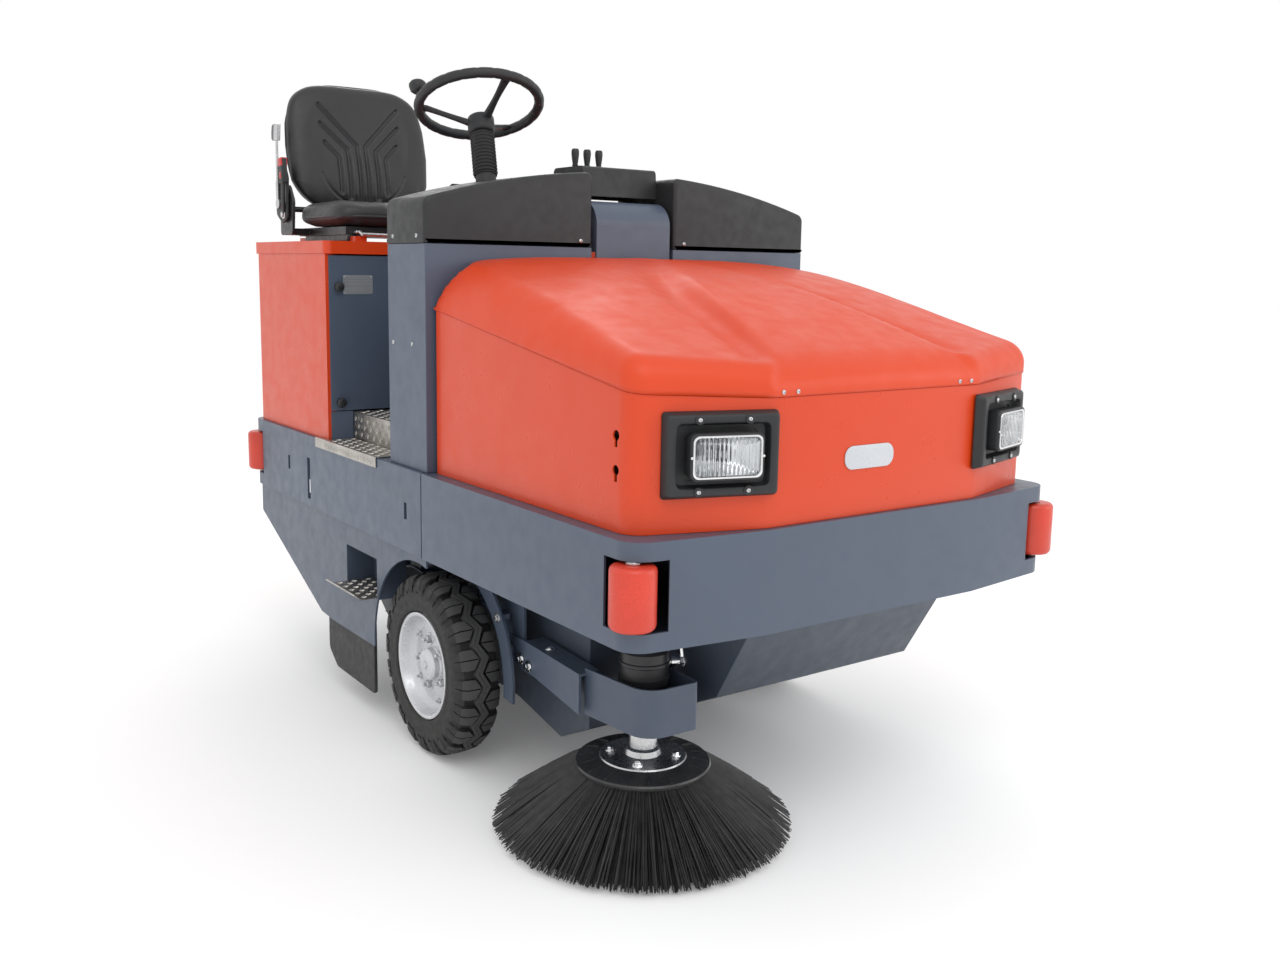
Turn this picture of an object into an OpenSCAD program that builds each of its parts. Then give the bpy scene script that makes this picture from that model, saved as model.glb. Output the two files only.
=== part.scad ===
// Ride-on sweeper with a front hopper, a main broom and one side brush.
// Millimetres. +Z is up, the machine drives towards -Y, its right side is -X.
// Sizes below are taken from the machine's centre plane (x), the front axle (y) and the floor (z);
// placed() then moves the machine so that the origin is under the middle of its outline.

/* [Body] */
// Half the width over the bumper band
half_w = 553; // [540:1:620]
// Lower edge of the bumper band above the floor
band_z0 = 470; // [465:1:480]
// Height of the bumper band
band_h = 190; // [170:1:220]
// Front axle to the rear of the band
rear_y = 1075; // [1070:1:1200]
// Front axle to the middle of the front band
front_len = 872; // [860:1:960]
// How far the front corners of the band sit behind its middle
corner_back = 33; // [10:1:60]
// Half the width of the flat middle facet of the front band
crease_x = 277; // [240:1:300]
// Corner radius of the bands
corner_r = 48; // [45:1:60]
// Plate thickness of the bands
plate_t = 6; // [4:1:8]
// Width of the flanges inside the bands
flange_w = 60; // [55:1:70]
// Where the front and rear bands meet
seam_y = -50; // [-56:1:-46]

/* [Towers] */
// Half the width over both towers
tower_half_w = 541; // [530:1:545]
// Half the width of the gap between the towers
tower_gap = 118; // [118:1:130]
// Front face of the towers
tower_y0 = -56; // [-60:1:-54]
// Rear face of the towers
tower_y1 = 135; // [130:1:150]
// Top of the steel towers
tower_top = 1154; // [1140:1:1170]
// Height of the tower covers in the middle of the machine
cover_h = 174; // [160:1:200]
// Drop of the covers' top from the middle to the outer edge
cover_drop = 78; // [50:1:90]

/* [Hopper] */
// Height of the lift pivot
pivot_z = 1205; // [1195:1:1215]
// Half the width of the orange hopper cover
box_half_w = 523; // [500:1:530]
// Front of the hopper cover from the front axle
box_len = 860; // [845:1:862]
// How far the cover's front corners sit behind its middle
box_corner_back = 72; // [40:1:90]
// Height of the hood seam at the back
seam_z_rear = 1014; // [990:1:1030]
// Height of the hood seam at the front
seam_z_front = 890; // [870:1:910]
// Height of the hood's crown at the back
hood_top = 1132; // [1110:1:1140]
// Half the width of the hopper bin
bin_half_w = 352; // [320:1:360]
// Wall of the hopper bin
bin_t = 5; // [4:1:8]

/* [Wheels] */
// Radius of all three tyres
tyre_r = 208; // [206:1:212]
// Width of the tyres
tyre_w = 106; // [100:1:112]
// Radius of the rim flange
rim_r = 121; // [115:1:125]
// Outer face of the front tyres from the centre plane
track_half = 537; // [530:1:545]
// Rear wheel behind the front axle
wheelbase = 830; // [825:1:840]

/* [Brushes] */
// Side brush centre from the centre plane
brush_x = -315; // [-320:1:-312]
// Side brush centre ahead of the front axle
brush_ahead = 560; // [556:1:566]
// Radius of the side brush on the floor
brush_r = 301; // [290:1:305]
// Height of the brush disc
disc_z = 137; // [130:1:140]
// Main broom behind the front axle
broom_y = 330; // [325:1:340]
// Radius of the main broom
broom_r = 160; // [155:1:165]
// Half the length of the main broom
broom_half_l = 380; // [350:1:384]

/* [Driver] */
// Seat and steering wheel from the centre plane
driver_x = -275; // [-285:1:-265]
// Outer radius of the steering wheel
wheel_out_r = 154; // [145:1:180]
// Height of the steering wheel
wheel_z = 1484; // [1470:1:1500]
// Lean of the steering column towards the driver
column_lean = 22; // [20:1:24]
// Lean of the steering column towards the middle
column_side = 7; // [5:1:8]
// Height of the foot platform
platform_z = 732; // [725:1:750]
// Seat width
seat_w = 424; // [400:1:440]
// Height of the backrest above its hinge
back_h = 356; // [320:1:380]

/* [Hidden] */
$fn = 48;

orange = "#d9481f";
slate = "#525c6b";
black = "#26282b";
dark = "#3a3d42";
steel = "#b9bcc0";
rubber = "#1d1e20";
tread_plate = "#a9a49c";

run = 0.05;                // radial clearance of a running fit
gap = 1;                   // gap between covers that meet
band_z1 = band_z0 + band_h;
front_y = -front_len;
front_corner_y = front_y + corner_back;
box_front_y = -box_len;
box_corner_y = box_front_y + box_corner_back;
box_rear_y = tower_y0 - 10;
roller_r = 41;
roller_h = 112;
roller_out = 22;           // how far a roller stands proud of the band
roller_x = half_w + roller_out - roller_r;
roller_front_y = front_corner_y + roller_r - roller_out;
roller_rear_y = rear_y - roller_r + roller_out;
roller_z = band_z0 + band_h / 2;
roller_pin_r = 8;
window_r = 62;
window_h = 124;
outline_x0 = brush_x - brush_r;
outline_x1 = half_w + roller_out;
lamp_half = 68;            // half the width of a headlamp
lamp_out = 38;             // how far a headlamp stands out of the cover
headlight_x = 366;
headlight_z = 796;
facet_a = atan(box_corner_back / (box_half_w - crease_x));
headlight_y = box_front_y + box_corner_back * (headlight_x - crease_x) / (box_half_w - crease_x) - 0.3;
outline_y0 = headlight_y - lamp_out * cos(facet_a) - lamp_half * sin(facet_a);
outline_y1 = rear_y + roller_out;
origin = [-(outline_x0 + outline_x1) / 2, -(outline_y0 + outline_y1) / 2, 0];

axle_r = 18;
bracket_x = 400;           // wheel brackets either side of the hopper scoop
bracket_t = 8;
tyre_x = track_half - tyre_w / 2;
tyre_z = tyre_r;
shaft_r = 20;
arm_half_w = 106;
arm_r = 58;
rail_x = 375;
rail_w = 50;
rail_h = 100;
beam_t = 50;
beam_y = 140;              // first cross beam
shell_t = 4;
deck_z = 1133;             // underside of the seat deck
deck_t = 32;
deck_top = deck_z + deck_t;
box_y0 = 515;              // front of the rear body
box_y1 = rear_y - 29;
tread_y0 = tower_y1 + gap;
tank_x = -60;              // the tank cover starts left of the driver's legs
broom_z = broom_r;
broom_pivot = [broom_y + 230, 300];
housing_r = broom_r + 24;
housing_t = 4;
bin_top = band_z0 - 0.3;
bin_front_y = -640;
bin_front_z = 266;
bin_low_y = -310;
bin_low_z = 105;
bin_mouth_y = broom_y - housing_r - 20;
notch_x = -195;            // the bin leaves room for the side brush
notch_y = -420;
arm_x0 = -415;             // outer face of the brush arm
arm_w = 50;
arm_h = 66;
arm_pin_r = 10;
arm_pivot = [-205, 284];   // y and z of the brush arm's pivot
arm_end = -brush_ahead + 84;
guard_z0 = 218;
guard_z1 = 314;
guard_t = 5;
motor_r = 51;
seat_hinge = [905, deck_top + 92];
cushion_z0 = 1212;
cushion_z1 = 1276;
cushion_y0 = 560;
cushion_y1 = 895;

// ---- helpers ----
function unit(v) = v / norm(v);
function corner_arc(a, b, c, r, n = 6) =
  r <= 0 ? [b] :
  let (u = unit(a - b), w = unit(c - b), half = acos(u * w) / 2,
       centre = b + unit(u + w) * r / sin(half),
       p = b + u * r / tan(half) - centre, q = b + w * r / tan(half) - centre,
       a0 = atan2(p.y, p.x), turn = (atan2(q.y, q.x) - a0 + 540) % 360 - 180)
  [for (i = [0:n]) centre + r * [cos(a0 + turn * i / n), sin(a0 + turn * i / n)]];
function rounded(pts, r, n = 6) =
  let (m = len(pts))
  [for (i = [0:m - 1])
    each corner_arc(pts[(i + m - 1) % m], pts[i], pts[(i + 1) % m], is_list(r) ? r[i] : r, n)];

module placed() { translate(origin) children(); }
// A profile drawn in y and z, from x0 to x1
module along_x(x0, x1) {
  translate([x0, 0, 0]) rotate([90, 0, 90]) linear_extrude(x1 - x0) children();
}
// A profile drawn in x and z, from y0 to y1
module along_y(y0, y1) {
  translate([0, y1, 0]) rotate([90, 0, 0]) linear_extrude(y1 - y0) children();
}
module block(x, y, z) {
  translate([x[0], y[0], z[0]]) cube([x[1] - x[0], y[1] - y[0], z[1] - z[0]]);
}
module bar_x(x, y, z, r) {
  translate([x[0], y, z]) rotate([0, 90, 0]) cylinder(h = x[1] - x[0], r = r);
}
module bar_y(x, y, z, r) {
  translate([x, y[1], z]) rotate([90, 0, 0]) cylinder(h = y[1] - y[0], r = r);
}
module left_right() {
  children();
  mirror([1, 0, 0]) children();
}

// ---- frames ----
module front_outline(inset, back = seam_y - 2) {
  x = half_w - inset;
  polygon(rounded([[-x, back], [-x, front_corner_y + inset], [-crease_x, front_y + inset],
    [crease_x, front_y + inset], [x, front_corner_y + inset], [x, back]],
    [0, corner_r - inset, 0, 0, corner_r - inset, 0]));
}
module rear_outline(inset, front = seam_y + 2) {
  x = half_w - inset;
  polygon(rounded([[x, front], [x, rear_y - inset], [-x, rear_y - inset], [-x, front]],
    [0, corner_r - inset, corner_r - inset, 0]));
}
module roller_windows(y) {
  left_right() translate([roller_x, y, roller_z - window_h / 2]) cylinder(h = window_h, r = window_r);
}
module roller_pins(y) {
  left_right() translate([roller_x, y, band_z0 + 1]) cylinder(h = band_h - 2, r = roller_pin_r);
}
module lifting_slots() {
  for (slot = [[31, band_z0 + 93, 14, 38], [780, band_z0 + 98, 14, 38], [632, band_z0 + 75, 20, 110]])
    translate([0, slot[0], slot[1]]) cube([2 * half_w + 10, slot[2], slot[3]], center = true);
}
module rear_frame() color(slate) placed() difference() {
  union() {
    difference() {
      translate([0, 0, band_z0]) linear_extrude(band_h) difference() {
        rear_outline(0);
        rear_outline(plate_t, seam_y);
      }
      roller_windows(roller_rear_y);
      lifting_slots();
    }
    for (z = [band_z0, band_z1 - 5])
      translate([0, 0, z]) linear_extrude(5) difference() {
        rear_outline(0);
        rear_outline(flange_w, seam_y);
      }
    roller_pins(roller_rear_y);
    // Deck under the towers and the footwell
    block([-half_w + 1, half_w - 1], [seam_y + 2, box_y0 + 20], [band_z1 - 5, band_z1]);
    // Kick plate under the door
    block([-tower_half_w + 8, -475], [box_y0 - 4.3, box_y0 - 0.3], [band_z1 - 1, platform_z + 2]);
    // Rails and cross beams
    left_right() difference() {
      block([rail_x, rail_x + rail_w], [seam_y + 12, rear_y - 20], [band_z0 + 10, band_z0 + 10 + rail_h]);
      block([rail_x - 1, rail_x + rail_w - 5], [150, rear_y - 140], [band_z0 + 16, band_z0 + 4 + rail_h]);
    }
    for (y = [beam_y, 560])
      block([-half_w + 1, half_w - 1], [y, y + beam_t], [band_z0 + 12, band_z0 + 78]);
    block([-480, 480], [rear_y - 75, rear_y - 75 + beam_t], [band_z0 + 12, band_z0 + 78]);
    // Posts that carry the deck
    for (x = [-470, -150, 150, 470])
      block([x - 20, x + 20], [145, 185], [band_z0 + 70, band_z1 - 1]);
    // Steering bearing plate behind the second beam
    block([-170, 170], [600, rear_y - 60], [band_z0 + 12, band_z0 + 30]);
    translate([0, wheelbase, band_z0]) cylinder(h = 90, r = 80);
    // Wheel brackets, stub axles and wheel guards
    left_right() {
      along_x(bracket_x, bracket_x + bracket_t) polygon(rounded(
        [[seam_y + 12, band_z0 + 20], [-70, 150], [70, 150], [110, band_z0 + 20]], [0, 30, 30, 0]));
      bar_x([bracket_x, tyre_x + 30], 0, tyre_z, axle_r);
      block([bracket_x - 4, bracket_x + 20], [-40, 40], [tyre_z - 30, tyre_z + 30]);
    }
    // Guard in front of the right tyre, and its strap
    along_x(-446, -440) difference() {
      translate([0, tyre_z]) circle(r = tyre_r + 58);
      translate([0, tyre_z]) circle(r = tyre_r + 18);
      polygon([[0, tyre_z], [-600, 150], [-600, -200], [500, -200], [500, 600], [-100, 600]]);
    }
    block([-446, -418], [-204, -196], [352, 364]);
    block([-428, -418], [-204, -40], [352, 364]);
    block([-428, -bracket_x], [-60, -40], [352, 364]);
    // Brackets that carry the broom arms
    for (x = [-300, 300]) along_x(x - 6, x + 6) polygon(rounded([[broom_pivot[0] - 24, broom_pivot[1] - 24],
      [broom_pivot[0] + 24, broom_pivot[1] - 24], [broom_pivot[0] + 34, band_z0 + 20],
      [broom_pivot[0] + 4, band_z0 + 20]], [18, 18, 0, 0]));
  }
  translate([0, wheelbase, band_z0 - 1]) cylinder(h = 92, r = 30 + run);
  block([-tower_gap, tower_gap], [seam_y, beam_y - 20], [band_z1 - 6, band_z1 + 1]);
  bar_x([-330, 330], broom_pivot[0], broom_pivot[1], 16 + run);
}
module side_plate_profile(arch = true) {
  difference() {
    polygon(rounded([[seam_y + 2, band_z0 - 0.3], [seam_y + 2, 190], [511, 186], [590, 191],
      [1051, 386], [1051, band_z0 - 0.3]], [0, 0, 30, 20, 10, 0]));
    circle(r = tyre_r + 34);
    translate([0, tyre_z]) circle(r = tyre_r + 34);
    translate([0, 100]) square([2 * (tyre_r + 34), 220], center = true);
  }
}
module side_plate() {
  along_x(tower_half_w - 5, tower_half_w) side_plate_profile();
  // Stiffening return that meets the band
  block([tower_half_w - 40, tower_half_w], [260, 1040], [band_z0 - 6, band_z0 - 0.3]);
}
step_y = [222, 408];
step_z = [312, 410];
module right_side_plate() color(slate) placed() {
  difference() {
    mirror([1, 0, 0]) side_plate();
    block([-tower_half_w - 1, -tower_half_w + 6], step_y, step_z);
  }
  // Pocket behind the step opening
  difference() {
    block([-tower_half_w + 3, -tower_half_w + 76], [step_y[0] - 3, step_y[1] + 3], [step_z[0] - 3, step_z[1] + 3]);
    block([-tower_half_w + 2, -tower_half_w + 73], step_y, step_z);
  }
}
module left_side_plate() color(slate) placed() side_plate();
module boarding_step() color(tread_plate) placed()
  along_y(step_y[0] + 4, step_y[1] - 4) polygon([[-tower_half_w + 70, step_z[0] + 0.3],
    [-tower_half_w + 70, step_z[0] + 5], [-tower_half_w - 38, step_z[0] + 5], [-tower_half_w - 56, step_z[0] + 18],
    [-tower_half_w - 60, step_z[0] + 15], [-tower_half_w - 40, step_z[0] + 0.3]]);
module tread_plates() color(tread_plate) placed() {
  // Lower tread with its lip over the band
  block([-half_w - 4, -475], [tread_y0 + 50, box_y0 - 5], [band_z1 + 0.3, band_z1 + 4]);
  block([-half_w - 4, -tower_half_w - 0.5], [box_y0 - 6, 570], [band_z1 + 0.3, band_z1 + 4]);
  block([-half_w - 4, -half_w - 0.5], [tread_y0 + 50, 570], [band_z1 - 22, band_z1 + 4]);
  // Raised platform for the feet
  difference() {
    block([-474, tank_x - 2], [tread_y0 + 62, box_y0 - 5], [band_z1 + 0.3, platform_z]);
    block([-470, tank_x - 1], [tread_y0 + 66, box_y0], [band_z1 - 1, platform_z - 4]);
  }
}

// ---- towers ----
module tower() {
  difference() {
    union() {
      difference() {
        block([tower_gap, tower_half_w], [tower_y0, tower_y1], [band_z1 + 0.3, tower_top]);
        block([tower_gap + 6, tower_half_w - shell_t], [tower_y0 + shell_t, tower_y1 - shell_t],
          [band_z1 + 6, tower_top + 1]);
      }
      // Ear that carries the lift pivot, inside the cover
      block([tower_gap + 6, tower_gap + 16], [tower_y0 + 8, tower_y1 - 8], [tower_top - 120, pivot_z + 40]);
    }
    bar_x([tower_gap - 1, tower_gap + 20], 0, pivot_z, shaft_r + run);
  }
}
module right_tower() color(slate) placed() mirror([1, 0, 0]) tower();
module left_tower() color(slate) placed() tower();
// Height of the covers' arch at x: a circle through the middle and the outer edge
arch_r = (tower_half_w * tower_half_w + cover_drop * cover_drop) / (2 * cover_drop);
cover_top = tower_top + cover_h;
function arch_z(x) = cover_top - arch_r + sqrt(arch_r * arch_r - x * x);
module arch_profile(inset) {
  x0 = tower_gap + inset;
  x1 = tower_half_w + 2 - inset;
  polygon(rounded([[x0, tower_top + 0.3], [x0, arch_z(x0) - inset],
    for (i = [1:7]) [x0 + (x1 - x0) * i / 8, arch_z(x0 + (x1 - x0) * i / 8) - inset],
    [x1, arch_z(x1) - inset], [x1, tower_top + 0.3]],
    [0, 14, 0, 0, 0, 0, 0, 0, 0, 14, 0]));
}
module tower_cover() {
  difference() {
    along_y(tower_y0 - 2, tower_y1 + 2) arch_profile(0);
    difference() {
      along_y(tower_y0 + 2, tower_y1 - 2) arch_profile(4);
      block([tower_gap, tower_half_w], [tower_y0, tower_y1], [tower_top - 5, tower_top]);
    }
    block([tower_gap + 4, tower_half_w - 2], [tower_y0 + 2, tower_y1 - 2], [tower_top - 1, tower_top + 20]);
    bar_x([tower_gap - 1, tower_gap + 10], 0, pivot_z, 34);
  }
}
wheel_y = 196;
module column_axis() {
  translate([driver_x, wheel_y, wheel_z]) rotate([-column_lean, column_side, 0]) children();
}
dash_y1 = 214;
module right_tower_cover() color(black) placed() difference() {
  union() {
    mirror([1, 0, 0]) tower_cover();
    // Dashboard that faces the driver
    along_x(driver_x - 110, driver_x + 110) polygon(rounded(
      [[tower_y1, tower_top + 0.3], [dash_y1, tower_top + 20], [dash_y1 - 20, tower_top + 118], [tower_y1, tower_top + 140]],
      [0, 14, 14, 0]));
  }
  column_axis() translate([0, 0, -430]) cylinder(h = 430, r = 24.3);
}
module left_tower_cover() color(black) placed() tower_cover();
console_z0 = 1276;
console_z1 = 1346;
console_y = [14, 150];
lever_y = 84;
lever_x = [for (i = [0:2]) -76 + 34 * i];
lever_pivot_z = console_z1 - 18;
console_x = [-tower_gap + 22, tower_gap - 0.3];
module lever_console() color(black) placed() difference() {
  union() {
    along_x(console_x[0], console_x[1]) polygon(rounded([[console_y[0], console_z0],
      [console_y[0] + 6, console_z1], [console_y[1], console_z1], [console_y[1], console_z0]],
      [0, 12, 12, 0]));
    // Legs behind the lift arm, down to the deck
    for (x = [console_x[0] + 2, console_x[1] - 30])
      block([x, x + 28], [tower_y1 - 21, tower_y1 + 2.7], [band_z1 + 0.3, console_z0 + 1]);
  }
  along_x(console_x[0] + 4, console_x[1] - 4) polygon([[console_y[0] + 5, console_z0 - 1],
    [console_y[0] + 10, console_z1 - 5], [console_y[1] - 5, console_z1 - 5], [console_y[1] - 5, console_z0 - 1]]);
  for (x = lever_x) block([x - 8, x + 8], [lever_y - 26, lever_y + 26], [console_z1 - 8, console_z1 + 1]);
}
module lever(x) color(dark) placed() {
  // Rod down to the valve, knob on top
  translate([x, lever_y, lever_pivot_z]) {
    cylinder(h = 34, r = 4);
    translate([0, 0, 26]) cylinder(h = 22, r1 = 7, r2 = 9);
    translate([0, 0, 48]) cylinder(h = 14, r1 = 9, r2 = 8);
    translate([-11, 0, 0]) rotate([0, 90, 0]) cylinder(h = 22, r = 12.7);
  }
}
module hopper_lever() lever(lever_x[0]);
module broom_lever() lever(lever_x[1]);
module side_brush_lever() lever(lever_x[2]);
module tank_cover() color(slate) placed() {
  difference() {
    block([tank_x, tower_half_w - 2], [tower_y1 + 3, box_y0 - 0.3], [band_z1 + 0.3, deck_z - 0.3]);
    block([tank_x + 4, tower_half_w - 6], [tower_y1 + 7, box_y0 - 4.3], [band_z1 - 1, deck_z - 4.3]);
  }
  // Fixed knuckles of the door hinge
  for (z = [door_z[0] + 10, door_z[1] - 39.7]) {
    translate([door_hinge_x, door_y, z]) cylinder(h = 29.7, r = 4);
    block([door_hinge_x, tank_x + 1], [door_y - 3, door_y + 3], [z, z + 29.7]);
  }
}
door_x0 = -tower_half_w + 8;
door_hinge_x = tank_x - 6;
door_z = [platform_z + 4, deck_z - 4];
latch_x = door_x0 + 24;
latch_z = [757, 1051];
door_y = box_y0 - 4.3;
module battery_door() color(slate) placed() difference() {
  union() {
    block([door_x0, door_hinge_x - 8], [door_y, door_y + 4], door_z);
    translate([door_hinge_x - 9, door_y, door_z[0] + 40]) cube([9, 4, door_z[1] - door_z[0] - 80]);
    translate([door_hinge_x, door_y, door_z[0] + 40]) cylinder(h = door_z[1] - door_z[0] - 80, r = 4);
  }
  for (z = latch_z) bar_y(latch_x, [door_y - 2, door_y + 6], z, 6 + run);
}
module door_latch(z) color(black) placed() {
  bar_y(latch_x, [door_y - 9, door_y - 0.3], z, 11);
  bar_y(latch_x, [door_y - 1, box_y0 + 8], z, 6);
  // Tongue behind the shell's flange
  block([latch_x - 25, latch_x + 5], [box_y0 + 4.3, box_y0 + 8], [z - 5, z + 5]);
}
module upper_door_latch() door_latch(latch_z[1]);
module lower_door_latch() door_latch(latch_z[0]);
deck_hinge = [box_y1 + 10, deck_z + 8];
module rear_body_shell() color(orange) placed() {
  difference() {
    translate([0, 0, band_z1 + 0.3]) linear_extrude(deck_z - band_z1 - 0.6) polygon(rounded(
      [[tower_half_w, box_y0], [tower_half_w, box_y1], [-tower_half_w, box_y1], [-tower_half_w, box_y0]],
      [0, 26, 26, 0]));
    translate([0, 0, band_z1 - 1]) linear_extrude(deck_z - band_z1 + 2) polygon(rounded(
      [[tower_half_w - 5, box_y0 - 1], [tower_half_w - 5, box_y1 - 5], [-tower_half_w + 5, box_y1 - 5],
      [-tower_half_w + 5, box_y0 - 1]], [0, 21, 21, 0]));
    for (i = [0:5], s = [-1, 1])
      block([s * 190 - 130, s * 190 + 130], [box_y1 - 10, box_y1 + 5], [760 + 34 * i, 772 + 34 * i]);
  }
  // Front flange that the door closes on
  block([-tower_half_w, -tower_half_w + 22], [box_y0, box_y0 + 4], [band_z1 + 0.3, deck_z - 0.3]);
  // Fixed knuckles of the seat deck's hinge
  for (x = [-300, 300]) {
    bar_x([x + 41, x + 70], deck_hinge[0], deck_hinge[1], 7.7);
    block([x + 42, x + 69], [box_y1 - 0.5, deck_hinge[0] - 1], [deck_z - 45, deck_z - 0.3]);
    block([x + 42, x + 69], [deck_hinge[0] - 5, deck_hinge[0] + 4], [deck_z - 10, deck_z + 5]);
  }
}
module traction_battery() color("#2f4f6b") placed() {
  // Steel tray on the rails, with rows of cells and a lid frame
  difference() {
    block([-397, 397], [620, 980], [band_z0 + 110.3, 1010]);
    block([-389, 389], [628, 972], [band_z0 + 118, 1011]);
  }
  for (i = [0:5], j = [0:3])
    block([-385 + 129 * i, -260 + 129 * i], [634 + 84 * j, 714 + 84 * j], [band_z0 + 117, 985]);
}
module hydraulic_power_unit() color(steel) placed() {
  block([60, 460], [200, 440], [band_z1 + 0.3, 860]);
  translate([160, 320, 859]) cylinder(h = 60, r = 55);
  translate([160, 320, 918]) cylinder(h = 150, r = 60);
  block([260, 420], [260, 380], [859, 930]);
}

// ---- steering ----
hub_drop = 74;             // underside of the hub below the rim
hub_h = 42;
bellows_r = 29;
bellows_z0 = -182;
rib = (-hub_drop - 2 - bellows_z0) / 12;
module steering_column() color(black) placed() column_axis() {
  translate([0, 0, -330]) cylinder(h = 330 - hub_drop - 0.3, r = 18);
  // Bellows over the upper column
  translate([0, 0, bellows_z0]) rotate_extrude() polygon([[10, 0],
    for (i = [0:11]) each [[bellows_r - 4, rib * i], [bellows_r, rib * (i + 0.5)]],
    [bellows_r - 5, rib * 12], [10, rib * 12]]);
  translate([0, 0, -330]) cylinder(h = 330 + bellows_z0 + 2, r = 24);
}
module steering_wheel() color(black) placed() column_axis() {
  rim_tube = 12;
  mid_r = wheel_out_r - rim_tube;
  rotate_extrude($fn = 96) translate([mid_r, 0]) circle(r = rim_tube, $fn = 24);
  translate([0, 0, -hub_drop]) cylinder(h = hub_h, r = 32);
  for (a = [90, 210, 330]) rotate([0, 0, a - 60]) hull() {
    translate([24, 0, -hub_drop + hub_h / 2 + 4]) sphere(r = 10, $fn = 16);
    translate([mid_r, 0, 0]) sphere(r = 8, $fn = 16);
  }
  // Spinner knob
  rotate([0, 0, 160]) translate([mid_r, 0, 8]) {
    cylinder(h = 22, r = 6);
    translate([0, 0, 20]) cylinder(h = 26, r1 = 17, r2 = 21);
  }
}

// ---- lift ----
module lift_pivot_shaft() color(steel) placed() bar_x([-tower_gap - 22, tower_gap + 22], 0, pivot_z, shaft_r);
lug_r = 95;
lug_a = 25;
cyl_x = 50;
cyl_y = 84;
module lift_cylinder() color(black) placed() difference() {
  union() {
    translate([cyl_x, cyl_y, band_z0 + 50]) cylinder(h = 500, r = 30);
    block([cyl_x - 26, cyl_x + 26], [cyl_y - 20, beam_y - 0.3], [band_z0 + 20, band_z0 + 60]);
  }
  translate([cyl_x, cyl_y, band_z0 + 70]) cylinder(h = 500, r = 16 + run);
}
module lift_cylinder_rod() color(steel) placed() {
  eye_z = pivot_z + lug_r * sin(lug_a);
  translate([cyl_x, cyl_y, band_z0 + 200]) cylinder(h = eye_z - band_z0 - 214, r = 16);
  bar_x([cyl_x - 6, cyl_x + 6], cyl_y, eye_z, 20);
}
arm_foot_z = band_z0 + 16;
module lift_arm() color(slate) placed() difference() {
  union() {
    along_x(-arm_half_w, arm_half_w) difference() {
      union() {
        translate([0, pivot_z]) circle(r = arm_r, $fn = 64);
        polygon([[-arm_r, pivot_z], [arm_r, pivot_z], [-12, pivot_z - 190], [-12, arm_foot_z], [-arm_r, arm_foot_z]]);
      }
      offset_y = 6;
      polygon([[-arm_r + offset_y, pivot_z - 60], [arm_r - 20, pivot_z - 60], [-18, pivot_z - 190],
        [-18, arm_foot_z + 6], [-arm_r + offset_y, arm_foot_z + 6]]);
    }
    // Lug for the lift cylinder
    along_x(14, 34) {
      translate([lug_r * cos(lug_a), pivot_z + lug_r * sin(lug_a)]) circle(r = 18);
      polygon([[0, pivot_z + 40], [lug_r * cos(lug_a) - 8, pivot_z + lug_r * sin(lug_a) + 16],
        [lug_r * cos(lug_a) + 10, pivot_z + lug_r * sin(lug_a) - 14], [20, pivot_z - 40]]);
    }
  }
  bar_x([-arm_half_w - 1, arm_half_w + 1], 0, pivot_z, shaft_r + run);
}

// ---- rollers ----
module roller(x, y) color(orange) placed() translate([x, y, roller_z - roller_h / 2]) difference() {
  union() {
    translate([0, 0, 4]) cylinder(h = roller_h - 8, r = roller_r);
    cylinder(h = roller_h, r = roller_r - 4);
  }
  translate([0, 0, -1]) cylinder(h = roller_h + 2, r = roller_pin_r + run);
}
module front_right_roller() roller(-roller_x, roller_front_y);
module front_left_roller() roller(roller_x, roller_front_y);
module rear_right_roller() roller(-roller_x, roller_rear_y);
module rear_left_roller() roller(roller_x, roller_rear_y);

// ---- pedals ----
module pedal(x) color(black) placed() {
  bar_x([x - 30, x + 30], 250, platform_z + 7.3, 7);
  along_x(x - 26, x + 26) polygon([[250, platform_z + 8], [250, platform_z + 15], [206, platform_z + 60],
    [201, platform_z + 55]]);
}
module drive_pedal() pedal(-190);
module brake_pedal() pedal(-350);

// ---- seat ----
module seat_deck() color(orange) placed() {
  difference() {
    translate([0, 0, deck_z]) linear_extrude(deck_t) polygon(rounded(
      [[tower_half_w + 3, box_y0 - 10], [tower_half_w + 3, box_y1 + 2], [-tower_half_w - 3, box_y1 + 2],
      [-tower_half_w - 3, box_y0 - 10]], 18));
    block([-tower_half_w + 6, tower_half_w - 6], [box_y0 + 6, box_y1 - 12], [deck_z - 1, deck_z + deck_t - 5]);
  }
  // Rails the seat slides on
  for (s = [-1, 1]) translate([driver_x + s * 150, 0, 0])
    block([-16, 16], [560, 960], [deck_top - 1, deck_top + 14]);
  // Hinge knuckles
  for (x = [-300, 300]) bar_x([x - 40, x + 40], deck_hinge[0], deck_hinge[1], 8);
  for (x = [-300, 300]) block([x - 38, x + 38], [box_y1 - 6, box_y1 + 8], [deck_z + 4, deck_z + 14]);
}
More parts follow.
